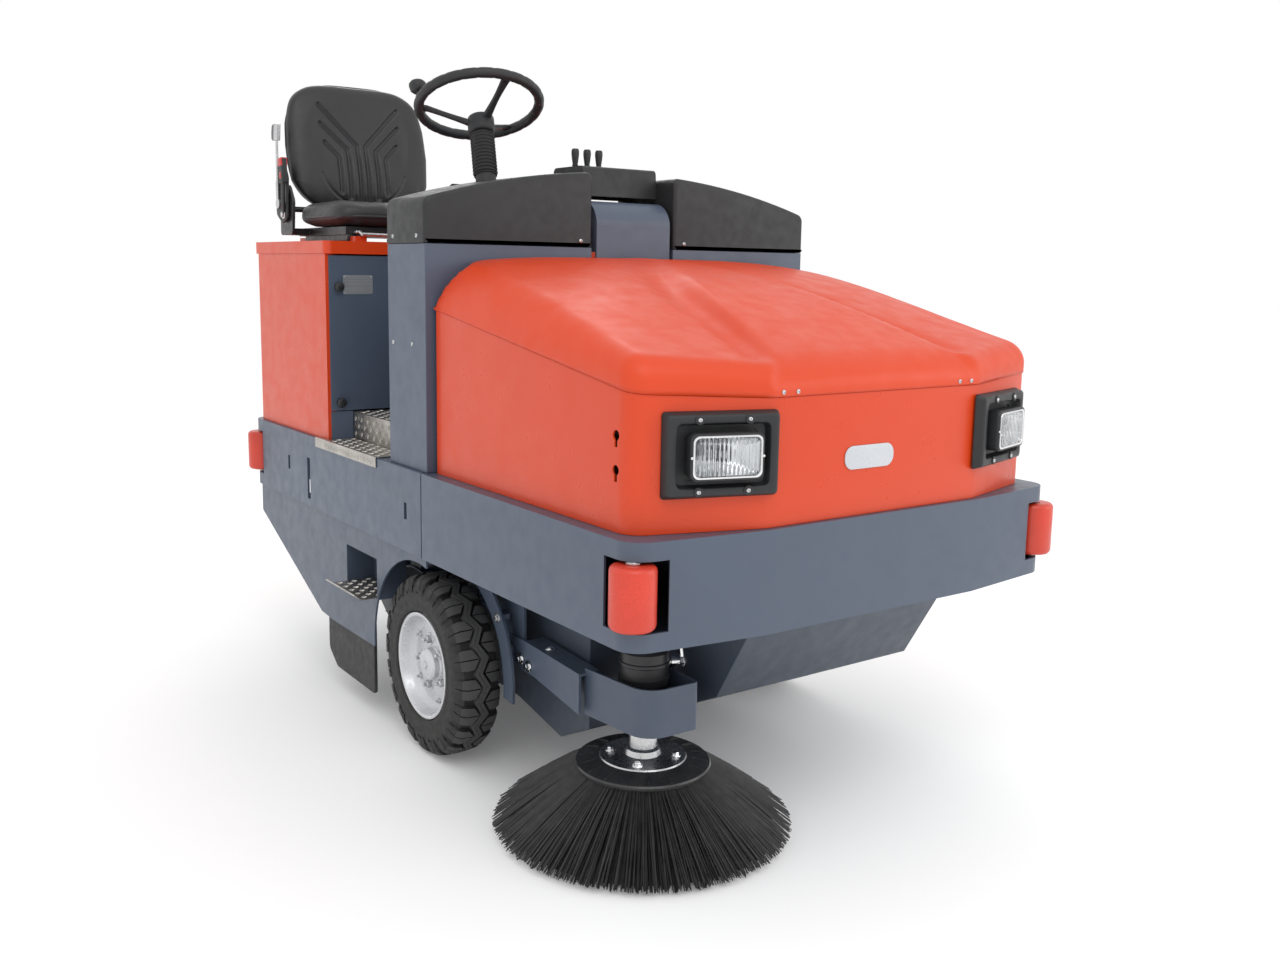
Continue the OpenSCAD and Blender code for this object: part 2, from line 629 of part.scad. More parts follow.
module seat_frame() color(black) placed() {
  block([driver_x - 175, driver_x + 175], [600, 940], [deck_top + 18, deck_top + 40]);
  for (s = [-1, 1]) translate([driver_x + s * 150, 0, 0]) difference() {
    block([-22, 22], [600, 900], [deck_top + 3, deck_top + 20]);
    block([-16.4, 16.4], [599, 901], [deck_top + 2, deck_top + 14.4]);
  }
  // Side brackets up to the backrest hinge
  for (s = [-1, 1]) translate([driver_x, 0, 0]) {
    x = s < 0 ? [-seat_w / 2 - 16, -seat_w / 2 - 8] : [seat_w / 2 + 8, seat_w / 2 + 16];
    along_x(x[0], x[1]) polygon(rounded([[850, deck_top + 20], [840, seat_hinge[1] + 20],
      [875, seat_hinge[1] + 70], [940, seat_hinge[1] + 30], [940, deck_top + 20]], [10, 20, 20, 20, 10]));
    block([s < 0 ? x[0] : 170, s < 0 ? -170 : x[1]], [860, 930], [deck_top + 20, deck_top + 38]);
  }
}
module seat_cushion() color(black) placed() block([driver_x - seat_w / 2, driver_x + seat_w / 2],
  [cushion_y0, cushion_y1 - 12], [deck_top + 40.4, cushion_z1]);
module seat_backrest() color(black) placed() {
  x0 = driver_x - seat_w / 2;
  intersection() {
    along_x(x0, x0 + seat_w) polygon([[seat_hinge[0] - 18, seat_hinge[1] + 2], [seat_hinge[0] + 62, seat_hinge[1] - 16],
      [seat_hinge[0] + 128, seat_hinge[1] + back_h - 6], [seat_hinge[0] + 58, seat_hinge[1] + back_h]]);
    along_y(600, 1200) polygon(rounded([[x0, seat_hinge[1] - 40], [x0 + 4, seat_hinge[1] + 150],
      [x0 + 40, seat_hinge[1] + back_h], [x0 + seat_w - 40, seat_hinge[1] + back_h],
      [x0 + seat_w - 4, seat_hinge[1] + 150], [x0 + seat_w, seat_hinge[1] - 40]], [20, 60, 50, 50, 60, 20]));
  }
  bar_x([x0 - 7.7, x0 + seat_w + 7.7], seat_hinge[0] + 14, seat_hinge[1], 8);
}
module recline_lever() color(steel) placed() {
  x = driver_x - seat_w / 2 - 24;
  bar_x([x - 8, x + 7.7], seat_hinge[0] + 14, seat_hinge[1] + 14, 14);
  along_x(x - 8, x - 3) polygon([[seat_hinge[0] + 8, seat_hinge[1] + 14], [seat_hinge[0] + 20, seat_hinge[1] + 14],
    [seat_hinge[0] + 16, seat_hinge[1] + 186], [seat_hinge[0] + 6, seat_hinge[1] + 186]]);
  translate([x - 5.5, seat_hinge[0] + 11, seat_hinge[1] + 184]) rotate([8, 0, 0]) cylinder(h = 44, r = 9);
}

// ---- wheels ----
module tyre_shape() {
  rotate_extrude($fn = 96) polygon([[rim_r - 2, -tyre_w / 2 + 12], [rim_r + 8, -tyre_w / 2 + 2], [tyre_r - 34, -tyre_w / 2],
    [tyre_r - 8, -tyre_w / 2 + 8], [tyre_r, -tyre_w / 2 + 20], [tyre_r, tyre_w / 2 - 20],
    [tyre_r - 8, tyre_w / 2 - 8], [tyre_r - 34, tyre_w / 2], [rim_r + 8, tyre_w / 2 - 2], [rim_r - 2, tyre_w / 2 - 12]]);
}
module rim_shape(bore) {
  difference() {
    union() {
      // Rim well, flanges, dished disc and hub, outer side towards +z
      rotate_extrude($fn = 96) polygon([[rim_r - 2.4, -tyre_w / 2 + 12], [rim_r - 2.4, tyre_w / 2 - 12],
        [rim_r + 1, tyre_w / 2 - 8], [rim_r - 3, tyre_w / 2 - 4], [rim_r - 12, tyre_w / 2 - 10],
        [rim_r - 12, 14], [72, 22], [44, 14], [44, 34], [24, 34], [24, -44], [44, -44], [44, 6],
        [72, 14], [rim_r - 12, 4], [rim_r - 12, -tyre_w / 2 + 14], [rim_r - 4, -tyre_w / 2 + 6]]);
      for (a = [0:72:359]) rotate([0, 0, a]) translate([56, 0, 12]) cylinder(h = 24, r = 9);
    }
    translate([0, 0, -60]) cylinder(h = 92, r = bore);
  }
}
module front_wheel_at(side) {
  translate([side * tyre_x, 0, tyre_z]) rotate([0, side * 90, 0]) children();
}
module right_front_tyre() color(rubber) placed() front_wheel_at(-1) tyre_shape();
module left_front_tyre() color(rubber) placed() front_wheel_at(1) tyre_shape();
module right_front_rim() color(steel) placed() front_wheel_at(-1) {
  rim_shape(24.5);
  translate([0, 0, -44]) rotate_extrude() polygon([[axle_r + run, 0], [24.6, 0], [24.6, 78], [axle_r + run, 78]]);
}
module left_front_rim() color(steel) placed() front_wheel_at(1) {
  rim_shape(24.5);
  translate([0, 0, -44]) rotate_extrude() polygon([[axle_r + run, 0], [24.6, 0], [24.6, 78], [axle_r + run, 78]]);
}
fork_x = 62;
module rear_fork() color(dark) placed() translate([0, wheelbase, 0]) {
  for (s = [-1, 1]) translate([s * fork_x, 0, 0]) block([-6, 6], [-45, 45], [150, 446]);
  block([-fork_x - 6, fork_x + 6], [-60, 60], [432, 452]);
  translate([0, 0, 440]) cylinder(h = 118, r = 30);
  translate([0, 0, 451]) cylinder(h = band_z0 - 451.3, r = 60);
  bar_x([-fork_x, fork_x], 0, tyre_z, axle_r);
  bar_x([fork_x, fork_x + 96], 0, tyre_z, 60);
}
module rear_tyre() color(rubber) placed() translate([0, wheelbase, tyre_z]) rotate([0, -90, 0]) tyre_shape();
module rear_rim() color(steel) placed() translate([0, wheelbase, tyre_z]) rotate([0, -90, 0])
  rotate_extrude($fn = 96) polygon([[axle_r + run, -48], [34, -48], [34, -6], [rim_r - 12, -6],
    [rim_r - 12, -tyre_w / 2 + 14], [rim_r - 2.4, -tyre_w / 2 + 12], [rim_r - 2.4, tyre_w / 2 - 12],
    [rim_r - 12, tyre_w / 2 - 14], [rim_r - 12, 6], [34, 6], [34, 48], [axle_r + run, 48]]);

// ---- main broom ----
housing_half = broom_half_l + 8;
module broom_housing() color(slate) placed() {
  along_x(-housing_half - 4, housing_half + 4) difference() {
    intersection() {
      translate([broom_y, broom_z]) circle(r = housing_r + housing_t, $fn = 96);
      translate([broom_y - 300, broom_z + 24]) square([600, 300]);
    }
    translate([broom_y, broom_z]) circle(r = housing_r, $fn = 96);
  }
  // Hangers up to the rails
  left_right() block([rail_x + 5, rail_x + 13], [broom_y - 30, broom_y + 30], [broom_z + housing_r - 2, band_z0 + 9.7]);
}
module broom_side_flaps() color(rubber) placed() left_right() {
  // Rubber skirts that close the ends of the broom chamber
  along_x(tower_half_w - 14, tower_half_w - 5.3) polygon(rounded([[258, 60], [258, 240], [554, 240], [554, 100],
    [500, 62]], [10, 0, 0, 24, 30]));
}
module broom_arms() color(slate) placed() {
  for (s = [-1, 1]) translate([s * (housing_half + 20), 0, 0]) {
    along_x(-5, 5) polygon([[broom_y - 26, broom_z - 26], [broom_y + 30, broom_z - 30],
      [broom_pivot[0] + 22, broom_pivot[1] - 14], [broom_pivot[0] + 14, broom_pivot[1] + 22],
      [broom_y - 10, broom_z + 30]]);
  }
  bar_x([-housing_half - 24, housing_half + 24], broom_pivot[0], broom_pivot[1], 16);
  for (s = [-1, 1]) bar_x(s < 0 ? [-housing_half - 20, -housing_half + 36] : [housing_half - 36, housing_half + 20],
    broom_y, broom_z, 22);
  bar_x([housing_half + 20, housing_half + 84], broom_y, broom_z, 42);
}
module main_broom_core() color(black) placed() difference() {
  bar_x([-broom_half_l, broom_half_l], broom_y, broom_z, 70);
  for (s = [-1, 1]) bar_x(s < 0 ? [-broom_half_l - 1, -broom_half_l + 30] : [broom_half_l - 30, broom_half_l + 1],
    broom_y, broom_z, 22 + run);
}
module main_broom_bristles() color(black) placed() difference() {
  bar_x([-broom_half_l + 4, broom_half_l - 4], broom_y, broom_z, broom_r);
  bar_x([-broom_half_l, broom_half_l], broom_y, broom_z, 70);
}

// ---- hopper ----
module bin_plan(inset) {
  x = bin_half_w - inset;
  polygon([[x, bin_mouth_y], [x, bin_front_y - 120 + inset], [notch_x + inset, bin_front_y - 120 + inset],
    [notch_x + inset, notch_y + inset], [-x, notch_y + inset], [-x, bin_mouth_y]]);
}
module hopper_frame() color(slate) placed() {
  difference() {
    translate([0, 0, band_z0]) linear_extrude(band_h) difference() {
      front_outline(0);
      front_outline(plate_t, seam_y);
    }
    roller_windows(roller_front_y);
  }
  translate([0, 0, band_z1 - 5]) linear_extrude(5) difference() {
    front_outline(0);
    front_outline(flange_w, seam_y);
  }
  // Closing plate with the hole over the bin
  translate([0, 0, band_z0]) linear_extrude(5) difference() {
    front_outline(0);
    translate([0, 0]) bin_plan(30);
  }
  roller_pins(roller_front_y);
  // Bracket and pin that carry the side brush arm
  block([-bracket_x - bracket_t, -bracket_x], [arm_pivot[0] - 40, arm_pivot[0] + 60],
    [arm_pivot[1] - 34, band_z0 + 1]);
  block([-bracket_x - bracket_t, -bracket_x + arm_w - 14], [arm_pivot[0] + 52, arm_pivot[0] + 60],
    [arm_pivot[1] + 6, band_z0 + 1]);
  bar_x([arm_x0 - 7, -bracket_x], arm_pivot[0], arm_pivot[1], arm_pin_r);
  bar_x([arm_x0 - 12, arm_x0 - 2], arm_pivot[0], arm_pivot[1], 17);
  // Rear beam that the lift arm bolts to
  block([-half_w + 1, half_w - 1], [-120, -arm_r - 0.3], [band_z0 + 4, band_z0 + 90]);
}
module bin_side_profile() {
  polygon([[bin_front_y - 120, bin_top], [bin_front_y, bin_front_z], [bin_low_y, bin_low_z], [-130, 140],
    [bin_mouth_y, 150], [bin_mouth_y, bin_top]]);
}
module bin_inner_profile() {
  slope = (bin_front_z - bin_low_z) / (bin_front_y - bin_low_y);
  polygon([[bin_front_y - 114, bin_top + 1], [bin_front_y + 8, bin_front_z + 6], [bin_low_y - 40, bin_low_z + 36 - 40 * slope],
    [-130, 156], [bin_mouth_y + 1, 156], [bin_mouth_y + 1, bin_top - 20], [bin_mouth_y - 80, bin_top - 20],
    [bin_mouth_y - 80, bin_top + 1]]);
}
module hopper_bin() color(dark) placed() difference() {
  intersection() {
    along_x(-bin_half_w, bin_half_w) bin_side_profile();
    translate([0, 0, 50]) linear_extrude(500) bin_plan(0);
  }
  intersection() {
    along_x(-bin_half_w, bin_half_w) bin_inner_profile();
    translate([0, 0, 50]) linear_extrude(500) {
      x = bin_half_w - bin_t;
      polygon([[x, 300], [x, -900], [notch_x + bin_t, -900], [notch_x + bin_t, notch_y + bin_t],
        [-x, notch_y + bin_t], [-x, 300]]);
    }
  }
}
module box_outline(inset) {
  x = box_half_w - inset;
  polygon(rounded([[-x, box_rear_y - inset], [-x, box_corner_y + inset], [-crease_x + 2, box_front_y + inset],
    [crease_x - 2, box_front_y + inset], [x, box_corner_y + inset], [x, box_rear_y - inset]],
    [6, 44 - inset, 0, 0, 44 - inset, 6]));
}
function seam_z(y) = seam_z_rear + (seam_z_front - seam_z_rear) * (y - box_rear_y) / (box_front_y - box_rear_y);
keyhole_y = -748;
module hopper_cover() color(orange) placed() difference() {
  translate([0, 0, band_z1 + 0.3]) linear_extrude(400) box_outline(0);
  translate([0, 0, band_z1 - 1]) linear_extrude(402) box_outline(shell_t);
  along_x(-600, 600) polygon([[0, seam_z(0)], [-1000, seam_z(-1000)], [-1000, 1200], [0, 1200]]);
  for (z = [768, 828]) {
    bar_x([-box_half_w - 1, -box_half_w + 5], keyhole_y, z, 9);
    block([-box_half_w - 1, -box_half_w + 5], [keyhole_y - 4, keyhole_y + 4], [z - 20, z]);
  }
  left_right() block([headlight_x - 74, headlight_x + 74], [-900, -800], [750, 838]);
}
lip_z = 952;
module hood_side_profile(inset) {
  polygon(rounded([[box_rear_y - inset, seam_z_front - 50], [box_rear_y - inset, hood_top - inset], [-330, 1080 - inset],
    [-600, 1018 - inset], [box_front_y + 60, lip_z - inset], [box_front_y - 3 + inset, seam_z_front - 50]],
    [0, 10, 0, 0, 40 - inset, 0]));
}
module hood_cross_profile(inset) {
  x = box_half_w + 2 - inset;
  polygon(rounded([[-x, 800], [-x, 930], [-x, 1032 - inset], [-430, 1112 - inset], [-200, hood_top - inset],
    [200, hood_top - inset], [430, 1112 - inset], [x, 1032 - inset], [x, 800]], [0, 0, 30, 40, 0, 0, 40, 30, 0]));
}
module hood() color(orange) placed() difference() {
  intersection() {
    translate([0, 0, 860]) linear_extrude(290) box_outline(-2);
    along_x(-600, 600) hood_side_profile(0);
    along_y(-900, -50) hood_cross_profile(0);
  }
  intersection() {
    translate([0, 0, 850]) linear_extrude(310) box_outline(3);
    along_x(-600, 600) hood_side_profile(5);
    along_y(-900, -50) hood_cross_profile(5);
  }
  along_x(-600, 600) polygon([[0, seam_z(0) + gap], [-1000, seam_z(-1000) + gap], [-1000, 700], [0, 700]]);
}
module at_headlight() {
  left_right() translate([headlight_x, headlight_y, headlight_z]) rotate([0, 0, facet_a]) children();
}
module headlight_frames() color(black) placed() at_headlight() difference() {
  along_y(-20, 0) polygon(rounded([[-108, -75], [-108, 75], [108, 75], [108, -75]], 8));
  along_y(-21, 1) polygon(rounded([[-lamp_half - 0.3, -41.3], [-lamp_half - 0.3, 41.3], [lamp_half + 0.3, 41.3],
    [lamp_half + 0.3, -41.3]], 14.3));
}
module headlamps() color("#d5d9dc") placed() at_headlight() {
  along_y(-lamp_out, 20) polygon(rounded([[-lamp_half, -41], [-lamp_half, 41], [lamp_half, 41],
    [lamp_half, -41]], 14));
}
module dust_filter() color("#e4ded0") placed() {
  // Pleated panel filter in its tray, resting on the bin's rear deck
  difference() {
    block([-330, 330], [-400, -140], [680, 800]);
    block([-324, 324], [-394, -146], [686, 801]);
  }
  for (i = [0:31]) block([-320 + 20 * i, -312 + 20 * i], [-393, -147], [685, 790]);
  for (x = [-332, 332], y = [-396, -160]) block([x - 6, x + 6], [y, y + 16], [band_z0 + 5.3, 681]);
}

// ---- side brush ----
// Plan of the guard round the motor, open at the back
module guard_plan(inset) {
  polygon(rounded([[64 - inset, 62 + inset], [64 - inset, -96 + inset], [-64 + inset, -96 + inset],
    [-82 + inset, 90 + inset], [-60, 90 + inset]], [0, 12 - inset / 2, 52 - inset, 0, 0]));
}
module brush_arm() color(slate) placed() difference() {
  union() {
    // Box arm beside the hopper
    difference() {
      along_x(arm_x0, arm_x0 + 6) arm_profile();
      bar_x([arm_x0 - 1, arm_x0 + 7], arm_pivot[0], arm_pivot[1], arm_pin_r + run);
    }
    along_x(arm_x0, arm_x0 + arm_w) polygon([[-262, arm_pivot[1] + arm_h / 2 - 6], [-262, arm_pivot[1] + arm_h / 2],
      [arm_end, guard_z1 - 8], [arm_end, guard_z1 - 14]]);
    along_x(arm_x0 + arm_w - 6, arm_x0 + arm_w) polygon([[-258, arm_pivot[1] - arm_h / 2 + 4],
      [-258, arm_pivot[1] + arm_h / 2], [arm_end, guard_z1 - 8], [arm_end, guard_z0 + 4]]);
    // Guard and floor plate round the motor
    translate([brush_x, -brush_ahead, guard_z0]) {
      linear_extrude(guard_z1 - guard_z0) difference() {
        guard_plan(0);
        guard_plan(guard_t);
      }
      linear_extrude(8) guard_plan(0);
    }
  }
  translate([brush_x, -brush_ahead, guard_z0 - 1]) cylinder(h = 12, r = 26);
}
module arm_profile() {
  polygon(rounded([[arm_pivot[0] + 30, arm_pivot[1] - 31], [arm_pivot[0] + 30, arm_pivot[1] + 31],
    [-262, arm_pivot[1] + arm_h / 2], [arm_end, guard_z1 - 8], [arm_end, guard_z0 + 4],
    [-300, arm_pivot[1] - arm_h / 2 - 2]], [24, 24, 0, 0, 0, 0]));
}
module brush_motor() color(black) placed() {
  // Output shaft, flange, case and end cap
  translate([brush_x, -brush_ahead, 0]) rotate_extrude() polygon([[0, disc_z + 30], [12.5, disc_z + 30],
    [12.5, guard_z0 + 8.3], [motor_r - 3, guard_z0 + 8.3], [motor_r - 3, guard_z0 + 70],
    [motor_r, guard_z0 + 72], [motor_r, guard_z0 + 148], [motor_r - 8, guard_z0 + 154], [0, guard_z0 + 154]]);
  // Hose fitting
  bar_x([brush_x + 30, brush_x + 78], -brush_ahead, guard_z0 + 124, 9);
}
module side_brush_disc() color(steel) placed() translate([brush_x, -brush_ahead, 0]) difference() {
  rotate_extrude($fn = 96) polygon([[0, disc_z - 8], [134, disc_z - 8], [136, disc_z], [90, disc_z + 8], [90, disc_z + 12], [60, disc_z + 14],
    [34, disc_z + 22], [28, disc_z + 60], [0, disc_z + 60]]);
  translate([0, 0, disc_z + 20]) cylinder(h = 60, r = 12.5 + run);
}
module side_brush_bristles() color(rubber) placed() translate([brush_x, -brush_ahead, 0])
  rotate_extrude($fn = 96) polygon([[110, disc_z - 8.3], [136, disc_z - 8.3], [brush_r, 14], [brush_r - 12, 0],
    [brush_r - 70, 0]]);

rear_frame();
right_side_plate();
left_side_plate();
boarding_step();
tread_plates();
right_tower();
left_tower();
right_tower_cover();
left_tower_cover();
lever_console();
tank_cover();
battery_door();
upper_door_latch();
lower_door_latch();
rear_body_shell();
traction_battery();
hydraulic_power_unit();
steering_column();
steering_wheel();
lift_pivot_shaft();
lift_cylinder();
lift_cylinder_rod();
broom_housing();
broom_side_flaps();
broom_arms();
main_broom_core();
main_broom_bristles();
front_right_roller();
front_left_roller();
rear_right_roller();
rear_left_roller();
hopper_lever();
broom_lever();
side_brush_lever();
drive_pedal();
brake_pedal();
seat_deck();
seat_frame();
seat_cushion();
seat_backrest();
recline_lever();
right_front_tyre();
right_front_rim();
left_front_tyre();
left_front_rim();
rear_fork();
rear_tyre();
rear_rim();
hopper_frame();
hopper_bin();
hopper_cover();
hood();
headlight_frames();
headlamps();
dust_filter();
lift_arm();
brush_arm();
brush_motor();
side_brush_disc();
side_brush_bristles();
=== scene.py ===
import math
import random

import bmesh
import bpy
import numpy as np
from mathutils import Matrix, Vector


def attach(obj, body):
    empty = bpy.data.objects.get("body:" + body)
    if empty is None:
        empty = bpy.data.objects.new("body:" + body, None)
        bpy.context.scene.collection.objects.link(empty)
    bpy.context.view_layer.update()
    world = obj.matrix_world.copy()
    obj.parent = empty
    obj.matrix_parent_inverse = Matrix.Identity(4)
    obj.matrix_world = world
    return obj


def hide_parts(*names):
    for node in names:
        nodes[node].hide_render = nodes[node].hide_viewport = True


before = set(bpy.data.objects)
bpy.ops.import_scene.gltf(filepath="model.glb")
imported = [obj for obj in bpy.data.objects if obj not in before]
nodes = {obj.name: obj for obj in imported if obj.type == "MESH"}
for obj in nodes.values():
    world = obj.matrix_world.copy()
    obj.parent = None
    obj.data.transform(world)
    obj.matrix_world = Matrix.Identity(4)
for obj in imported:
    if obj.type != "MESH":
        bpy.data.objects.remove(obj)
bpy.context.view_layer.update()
random.seed(7)

# Pieces below are drawn in millimetres from the machine's centre plane (x), front axle (y) and floor (z).
OX, OY = 20.5, -103.5888


AXLE_Z = 208
WHEEL_X = 484
REAR_WHEEL_Y = 830
BROOM_Y, BROOM_Z = 330, 160
BRUSH_X, BRUSH_Y = -315, -560
SEAT_X = -275


def place(p):
    return ((p[0] + OX) / 1000, (p[1] + OY) / 1000, p[2] / 1000)


# ---- materials
def sockets(node, **values):
    for k, v in values.items():
        node.inputs[k.replace("_", " ")].default_value = v


def material(name, color, rough=0.5, metal=0.0, grain=(900, 0.15), mottle=(5, 0.06), coat=0.0,
             dust=0.0, voronoi=0.0, sheen=0.0, spec=0.5, streak=None, rough_var=0.08, wear=0.0):
    m = bpy.data.materials.new(name)
    m.use_nodes = True
    t = m.node_tree
    n, link = t.nodes, t.links.new
    b = n["Principled BSDF"]
    sockets(b, Metallic=metal, Coat_Weight=coat, Coat_Roughness=0.12, Sheen_Weight=sheen,
        Specular_IOR_Level=spec)
    co = n.new("ShaderNodeTexCoord").outputs["Object"]

    def noise(scale, detail=3.0, vec=co):
        x = n.new("ShaderNodeTexNoise")
        sockets(x, Scale=scale, Detail=detail)
        link(vec, x.inputs["Vector"])
        return x.outputs["Fac"]

    def mix(fac, a, c):
        x = n.new("ShaderNodeMix")
        x.data_type = "RGBA"
        if isinstance(fac, float):
            x.inputs["Factor"].default_value = fac
        else:
            link(fac, x.inputs["Factor"])
        for k, v in ((6, a), (7, c)):
            if isinstance(v, tuple):
                x.inputs[k].default_value = v
            else:
                link(v, x.inputs[k])
        return x.outputs[2]

    def remap(v, a, c, lo, hi):
        x = n.new("ShaderNodeMapRange")
        for k, q in (("From Min", a), ("From Max", c), ("To Min", lo), ("To Max", hi)):
            x.inputs[k].default_value = q
        link(v, x.inputs["Value"])
        return x.outputs["Result"]

    def shade(f):
        return tuple(min(1, max(0, c * f)) for c in color[:3]) + (1,)

    blot = remap(noise(mottle[0], 5), 0.3, 0.7, 0, 1)
    col = mix(blot, shade(1 - mottle[1]), shade(1 + mottle[1]))
    fine = noise(grain[0], 2)
    col = mix(remap(fine, 0.35, 0.65, 0, 0.5), col, shade(0.86))
    if streak:
        mp = n.new("ShaderNodeMapping")
        sockets(mp, Scale=streak)
        link(co, mp.inputs["Vector"])
        s = noise(1, 4, mp.outputs["Vector"])
        col = mix(remap(s, 0.35, 0.65, 0, 0.6), col, shade(0.72))
    if wear:
        g = n.new("ShaderNodeNewGeometry").outputs["Pointiness"]
        w = remap(g, 0.53, 0.6, 0, wear)
        col = mix(w, col, shade(1.5))
    if dust:
        sep = n.new("ShaderNodeSeparateXYZ")
        link(co, sep.inputs["Vector"])
        low = remap(sep.outputs["Z"], 0.0, 0.42, dust, 0)
        mul = n.new("ShaderNodeMath")
        mul.operation = "MULTIPLY"
        link(low, mul.inputs[0])
        link(remap(noise(38, 5), 0.35, 0.7, 0.2, 1), mul.inputs[1])
        col = mix(mul.outputs[0], col, (0.42, 0.38, 0.33, 1))
    link(col, b.inputs["Base Color"])
    link(remap(noise(mottle[0] * 7, 4), 0.3, 0.7, rough - rough_var, rough + rough_var),
        b.inputs["Roughness"])
    height = fine
    if voronoi:
        vo = n.new("ShaderNodeTexVoronoi")
        sockets(vo, Scale=voronoi)
        link(co, vo.inputs["Vector"])
        height = vo.outputs["Distance"]
    bump = n.new("ShaderNodeBump")
    sockets(bump, Strength=grain[1], Distance=0.0006)
    link(height, bump.inputs["Height"])
    link(bump.outputs["Normal"], b.inputs["Normal"])
    return m


SLATE = material("slate_paint", (0.070, 0.092, 0.134), 0.42, 0.0, (1400, 0.10), (4, 0.04), coat=0.08,
    dust=0.04, wear=0.25)
DARKS = material("dark_paint", (0.055, 0.070, 0.098), 0.48, 0.0, (1200, 0.12), (4, 0.08), dust=0.06, wear=0.2)
ORANGE = material("orange_paint", (0.66, 0.052, 0.007), 0.34, 0.0, (1500, 0.05), (3, 0.03), coat=0.12,
    spec=0.4)
MOULD = material("orange_moulding", (0.68, 0.055, 0.008), 0.45, 0.0, (900, 0.16), (3, 0.03), coat=0.04,
    spec=0.4)
ROLLER = material("orange_roller", (0.62, 0.045, 0.02), 0.36, 0.0, (300, 0.12), (9, 0.12), coat=0.1,
    dust=0.05)
PLASTIC = material("black_plastic", (0.020, 0.021, 0.023), 0.46, 0.0, (1100, 0.35), (6, 0.12), spec=0.45)
METALB = material("black_metal", (0.017, 0.017, 0.019), 0.38, 0.0, (800, 0.12), (8, 0.12), coat=0.1, wear=0.4)
VINYL = material("black_vinyl", (0.017, 0.017, 0.019), 0.40, 0.0, (900, 0.4), (14, 0.15), voronoi=520,
    sheen=0.05)
TYRE = material("tyre_rubber", (0.012, 0.012, 0.012), 0.60, 0.0, (260, 0.30), (10, 0.25), dust=0.03, spec=0.4)
WORN = material("tyre_tread_face", (0.070, 0.070, 0.070), 0.80, 0.0, (420, 0.45), (14, 0.18), spec=0.25)
RUBBER = material("sheet_rubber", (0.020, 0.020, 0.021), 0.6, 0.0, (220, 0.25), (9, 0.2), dust=0.05)
ZINC = material("zinc_steel", (0.60, 0.60, 0.61), 0.30, 1.0, (600, 0.12), (40, 0.12), rough_var=0.1)
CHROME = material("chrome_steel", (0.80, 0.80, 0.81), 0.12, 1.0, (500, 0.03), (30, 0.05), rough_var=0.04)
SILVER = material("rim_silver", (0.62, 0.63, 0.65), 0.34, 0.55, (900, 0.15), (12, 0.10), dust=0.03,
    rough_var=0.1)
TREAD = material("tread_aluminium", (0.50, 0.475, 0.44), 0.38, 1.0, (700, 0.2), (25, 0.25),
    streak=(90, 14, 60), rough_var=0.12)
BRISTLE = material("bristle", (0.018, 0.018, 0.020), 0.48, 0.0, (700, 0.3), (60, 0.5), dust=0.05)
DISC = material("brush_disc", (0.020, 0.021, 0.023), 0.35, 0.0, (300, 0.2), (16, 0.2), coat=0.2, dust=0.05)
FILTER = material("filter_cloth", (0.66, 0.62, 0.52), 0.8, 0.0, (500, 0.4), (12, 0.12))
CELLS = material("battery_case", (0.035, 0.06, 0.12), 0.5, 0.0, (500, 0.2), (9, 0.15))
RED = material("red_catch", (0.55, 0.02, 0.02), 0.35, 0.0, (800, 0.1), (20, 0.1))
PLATE = material("blank_plate", (0.55, 0.56, 0.57), 0.35, 0.7, (600, 0.08), (20, 0.06), streak=(8, 260, 260))
KNOB = material("grey_knob", (0.16, 0.16, 0.17), 0.45, 0.0, (700, 0.2), (20, 0.1))
BADGE = material("blank_badge", (0.55, 0.57, 0.60), 0.30, 0.0, (500, 0.04), (12, 0.03), coat=0.3)

GLASS = bpy.data.materials.new("lamp_glass")
GLASS.use_nodes = True
g = GLASS.node_tree.nodes["Principled BSDF"]
sockets(g, Base_Color=(0.95, 0.97, 0.98, 1), Transmission_Weight=1.0, IOR=1.45, Roughness=0.03)
wave = GLASS.node_tree.nodes.new("ShaderNodeTexWave")
wave.bands_direction = "X"
sockets(wave, Scale=42, Distortion=0.6)
gb = GLASS.node_tree.nodes.new("ShaderNodeBump")
sockets(gb, Strength=0.5, Distance=0.002)
gc = GLASS.node_tree.nodes.new("ShaderNodeTexCoord")
GLASS.node_tree.links.new(gc.outputs["Object"], wave.inputs["Vector"])
GLASS.node_tree.links.new(wave.outputs["Color"], gb.inputs["Height"])
GLASS.node_tree.links.new(gb.outputs["Normal"], g.inputs["Normal"])


